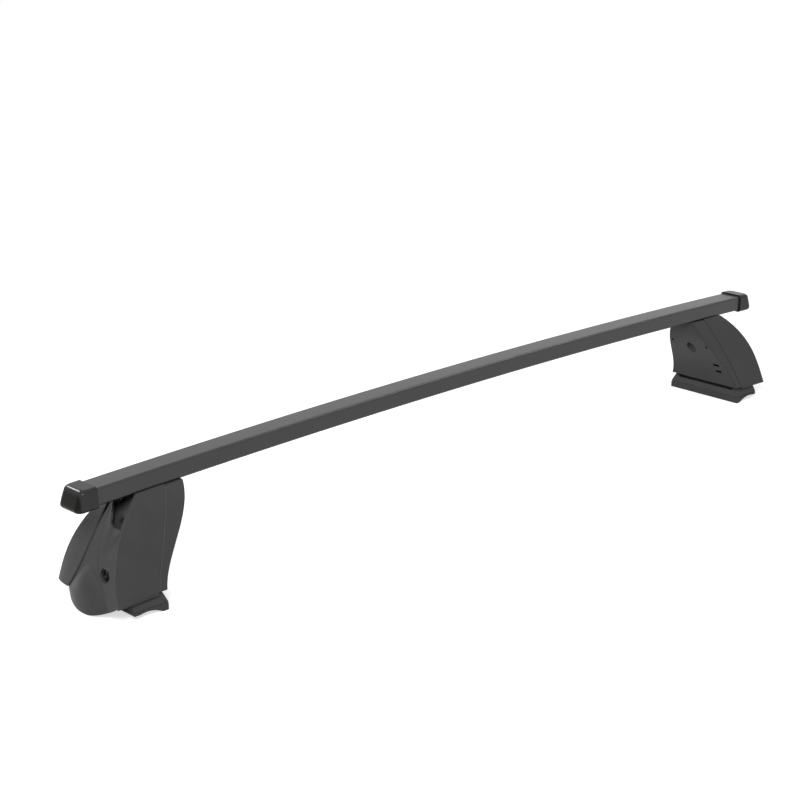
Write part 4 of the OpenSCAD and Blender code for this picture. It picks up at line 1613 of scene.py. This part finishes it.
@dataclass
class Base:
    """Base carrier and roof pad of a foot."""

    shop: Workshop
    shape: FootShape
    side: Side
    half: float = 57.5
    pad_t: float = 9.0
    land: float = 7.0
    hollow: float = 3.0
    hollow_steps: int = 32
    land_step: float = 5.0
    chamfer: float = 1.2
    hole_r: float = 10.0
    groove_h: float = 5.5
    groove_depth: float = 4.0
    groove_block: float = 5.0
    ledge: float = 5.0
    ledge_end: float = 6.0
    flank_steps: int = 6
    rounding: Rounding = Rounding(0.8, 40.0)

    @property
    def start(self) -> float:
        """Inner end of the pad and the carrier."""
        return self.shape.pad_start

    @property
    def end(self) -> float:
        """Outer end of the pad and the carrier."""
        return self.start + self.shape.pad_length

    def build_pad(self) -> None:
        """Builds the rubber pad with the hollow between its lands."""
        profile = [(self.start, 0.0)]
        span = self.shape.pad_length - 2 * self.land
        for share in spread(0.0, 1.0, self.hollow_steps):
            rise = self.land_step * share + self.hollow * math.sin(math.pi * share)
            profile.append((self.start + self.land + span * share, rise))
        profile += [(self.end, self.land_step), (self.end, self.pad_t), (self.start, self.pad_t)]
        full, low = self.pad_t, self.pad_t - self.chamfer
        inset = self.half - self.chamfer
        rows = []
        for y, top in ((-self.half, low), (-inset, full), (inset, full), (self.half, low)):
            rows.append([(x, y, min(z, top)) for x, z in profile])
        pad = rows_mesh(f"{self.side.prefix}_pad", self.side, rows)
        hole_start = (self.shape.pad_middle, 0, -PAST)
        hole_depth = self.pad_t + 2 * PAST
        hole = round_rod("boss_hole", self.side, hole_start, (0, 0, 1), hole_depth, self.hole_r, WIDE_FACES)
        self.rounding.add_to(pad)
        pad = combine(pad, Cut.TAKE_AWAY, [hole])
        shade(pad)
        prefix = self.side.prefix
        self.shop.fit(pad, f"{prefix}_roof_pad", f"{prefix}_foot", Slot.RUBBER)

    def build_carrier(self) -> None:
        """Builds the carrier between the pad and the foot, with the groove under its top."""
        s = self.shape
        top = s.inner_skirt
        ledge_z = top - self.groove_h
        top_half = self.half - self.ledge_end
        rows = []
        for share in spread(0.0, 1.0, self.flank_steps):
            z = mix(self.pad_t, top, share)
            x0, x1 = self.start + self.ledge * share, self.end - self.ledge / 2 * share
            w = mix(self.half, top_half, share)
            rows.append([(x0, -w, z), (x1, -w, z), (x1, w, z), (x0, w, z)])
        carrier = rows_mesh(f"{self.side.prefix}_carrier", self.side, rows)
        groove = self.ledge + self.groove_depth
        groove_end = top_half - self.groove_block
        cut_top = top + PAST
        middle = (s.pad_middle, 0, 0)
        cutters = [
            block("inner_groove", self.side, (self.start - PAST, -groove_end, ledge_z),
                  (self.start + groove, groove_end, cut_top)),
            block("outer_groove", self.side, (self.end - groove, -groove_end, ledge_z),
                  (self.end + PAST, groove_end, cut_top)),
            round_rod("screw_hole", self.side, middle, (0, 0, 1), cut_top, s.roof_screw_hole),
            round_rod("boss_hole", self.side, middle, (0, 0, 1), ledge_z, self.hole_r, WIDE_FACES),
        ]
        self.rounding.add_to(carrier)
        carrier = combine(carrier, Cut.TAKE_AWAY, cutters)
        shade(carrier)
        prefix = self.side.prefix
        self.shop.fit(carrier, f"{prefix}_base_carrier", f"{prefix}_foot", Slot.MOULDING)


@dataclass
class Fixings:
    """Pins, screws, plates and the lock, which keep the frame's own meshes."""

    shop: Workshop
    side: Side
    edge: float = 0.2
    steel: Sequence[str] = (
        "cover_hinge_pin", "lock_cam", "steel_plate", "roof_screw", "roof_washer", "clamp_bolt",
        "clamp_washer", "nut_plate",
    )
    blackened: Sequence[str] = ("housing_screws",)
    lock: Sequence[str] = ("lock_sleeve", "lock_barrel")

    def build(self) -> None:
        """Dresses every fixing of this foot."""
        finishes = self.shop.finishes
        groups = (
            (self.steel, finishes.made[Slot.STEEL]),
            (self.blackened, finishes.black_oxide),
            (self.lock, finishes.made[Slot.LOCK]),
        )
        for pieces, material in groups:
            for piece in pieces:
                self.shop.dress_node(f"{self.side.prefix}_{piece}", material, self.edge)


@dataclass(frozen=True)
class Lamp:
    """A soft lamp that faces the middle of the bar: its place and size in metres, its power in watts."""

    name: str
    at: Point
    length: float
    width: float
    power: float

    def add(self) -> None:
        """Adds the lamp, with its length along the bar."""
        light = bpy.data.lights.new(self.name, "AREA")
        light.shape = "RECTANGLE"
        light.size = self.length
        light.size_y = self.width
        light.energy = self.power
        lamp = bpy.data.objects.new(self.name, light)
        lamp.location = self.at
        back = Vector(self.at).normalized()
        along = (Vector((1, 0, 0)) - back.x * back).normalized()
        lamp.rotation_euler = Matrix((along, back.cross(along), back)).transposed().to_euler()
        bpy.context.scene.collection.objects.link(lamp)


@dataclass
class Studio:
    """Floor, light and camera, in metres; the camera looks from its place in a given direction."""

    camera_at: Point = (-1.554, -1.481, 0.793)
    camera_look: Point = (0.6658, 0.6806, -0.3059)
    camera_far: float = 100.0
    lens: float = 83.0
    sensor: float = 36.0
    floor_half: float = 4.0
    floor_near: float = 1.0
    floor_far: float = 2.4
    floor_colour: float = 0.6
    floor_roughness: float = 0.9
    floor_lift: float = 0.65
    world_light: float = 0.22
    world_seen: float = 1.0
    lamps: Sequence[Lamp] = (
        Lamp("key_lamp", (-1.6, -1.2, 1.5), length=0.8, width=0.8, power=42.0),
        Lamp("back_lamp", (-0.8, 1.8, 1.75), length=0.6, width=0.6, power=32.0),
        Lamp("edge_lamp", (1.7, -0.78, 1.88), length=1.0, width=0.16, power=16.0),
    )

    def seen(self, tree: bpy.types.NodeTree) -> Socket:
        """Tells what is seen from what only lights a surface.

        Args:
            tree: The node tree.

        Returns:
            1 for what the camera, a reflection or a clear piece sees, and 0 for light on a surface.
        """
        rays = ("Is Camera Ray", "Is Glossy Ray", "Is Transmission Ray")
        camera, glossy, through = (add_node(tree, "ShaderNodeLightPath", output=ray) for ray in rays)
        return (camera + glossy + through).clamped()

    def build_floor(self) -> None:
        """Lays a pale plain floor."""
        half = self.floor_half
        mesh = bpy.data.meshes.new("floor")
        corners = [(-half, -half, 0.0), (half, -half, 0.0), (half, half, 0.0), (-half, half, 0.0)]
        mesh.from_pydata(corners, [], [(0, 1, 2, 3)])
        floor = bpy.data.objects.new("floor", mesh)
        bpy.context.scene.collection.objects.link(floor)
        material, tree = new_tree("pale_floor")
        lift = self.seen(tree) * self.floor_lift
        length = {"operation": "LENGTH"}
        away = add_node(tree, "ShaderNodeVectorMath", length, {0: place(tree)}, output="Value")
        fade = (self.floor_far - away) * (1 / (self.floor_far - self.floor_near))
        close_material(tree, {
            "Base Color": grey(self.floor_colour),
            "Roughness": self.floor_roughness,
            "Alpha": fade.clamped(),
            "Emission Color": blend(tree, lift, grey(0.0), grey(1.0)),
            "Emission Strength": 1.0,
        })
        mesh.materials.append(material)

    def build_world(self) -> None:
        """Makes a white surrounding that lights the object softly."""
        world = bpy.data.worlds.new("studio")
        bpy.context.scene.world = world
        world.use_nodes = True
        tree = world.node_tree
        tree.nodes.clear()
        strength = self.seen(tree) * (self.world_seen - self.world_light) + self.world_light
        background = add_node(tree, "ShaderNodeBackground", inputs={"Color": grey(1.0), "Strength": strength})
        add_node(tree, "ShaderNodeOutputWorld", inputs={"Surface": background})

    def build_camera(self) -> None:
        """Sets up the camera at the photograph's viewpoint."""
        data = bpy.data.cameras.new("camera")
        data.lens = self.lens
        data.sensor_width = self.sensor
        data.sensor_fit = "HORIZONTAL"
        data.clip_end = self.camera_far
        camera = bpy.data.objects.new("camera", data)
        camera.location = self.camera_at
        camera.rotation_euler = Vector(self.camera_look).to_track_quat("-Z", "Y").to_euler()
        bpy.context.scene.collection.objects.link(camera)
        bpy.context.scene.camera = camera

    def build(self) -> None:
        """Builds the whole studio."""
        self.build_floor()
        self.build_world()
        for lamp in self.lamps:
            lamp.add()
        self.build_camera()
        bpy.context.scene.view_settings.view_transform = "Standard"


def main() -> None:
    """Builds the object around the frame, dresses it and sets up the studio."""
    logging.basicConfig(level=logging.INFO, format="%(message)s")
    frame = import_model()
    arch = Arch()
    shop = Workshop(frame["nodes"], Finishes(arch), arch)
    bar = Bar(shop)
    bar.build_tube()
    for side in Side:
        bar.build_cap(side)
        shape = FootShape(arch)
        FootBody(shop, shape, side).build()
        Housing(shop, shape, side).build()
        LockCover(shop, shape, side).build()
        base = Base(shop, shape, side)
        base.build_carrier()
        base.build_pad()
        Fixings(shop, side).build()
    Studio().build()


if __name__ == "__main__":
    main()
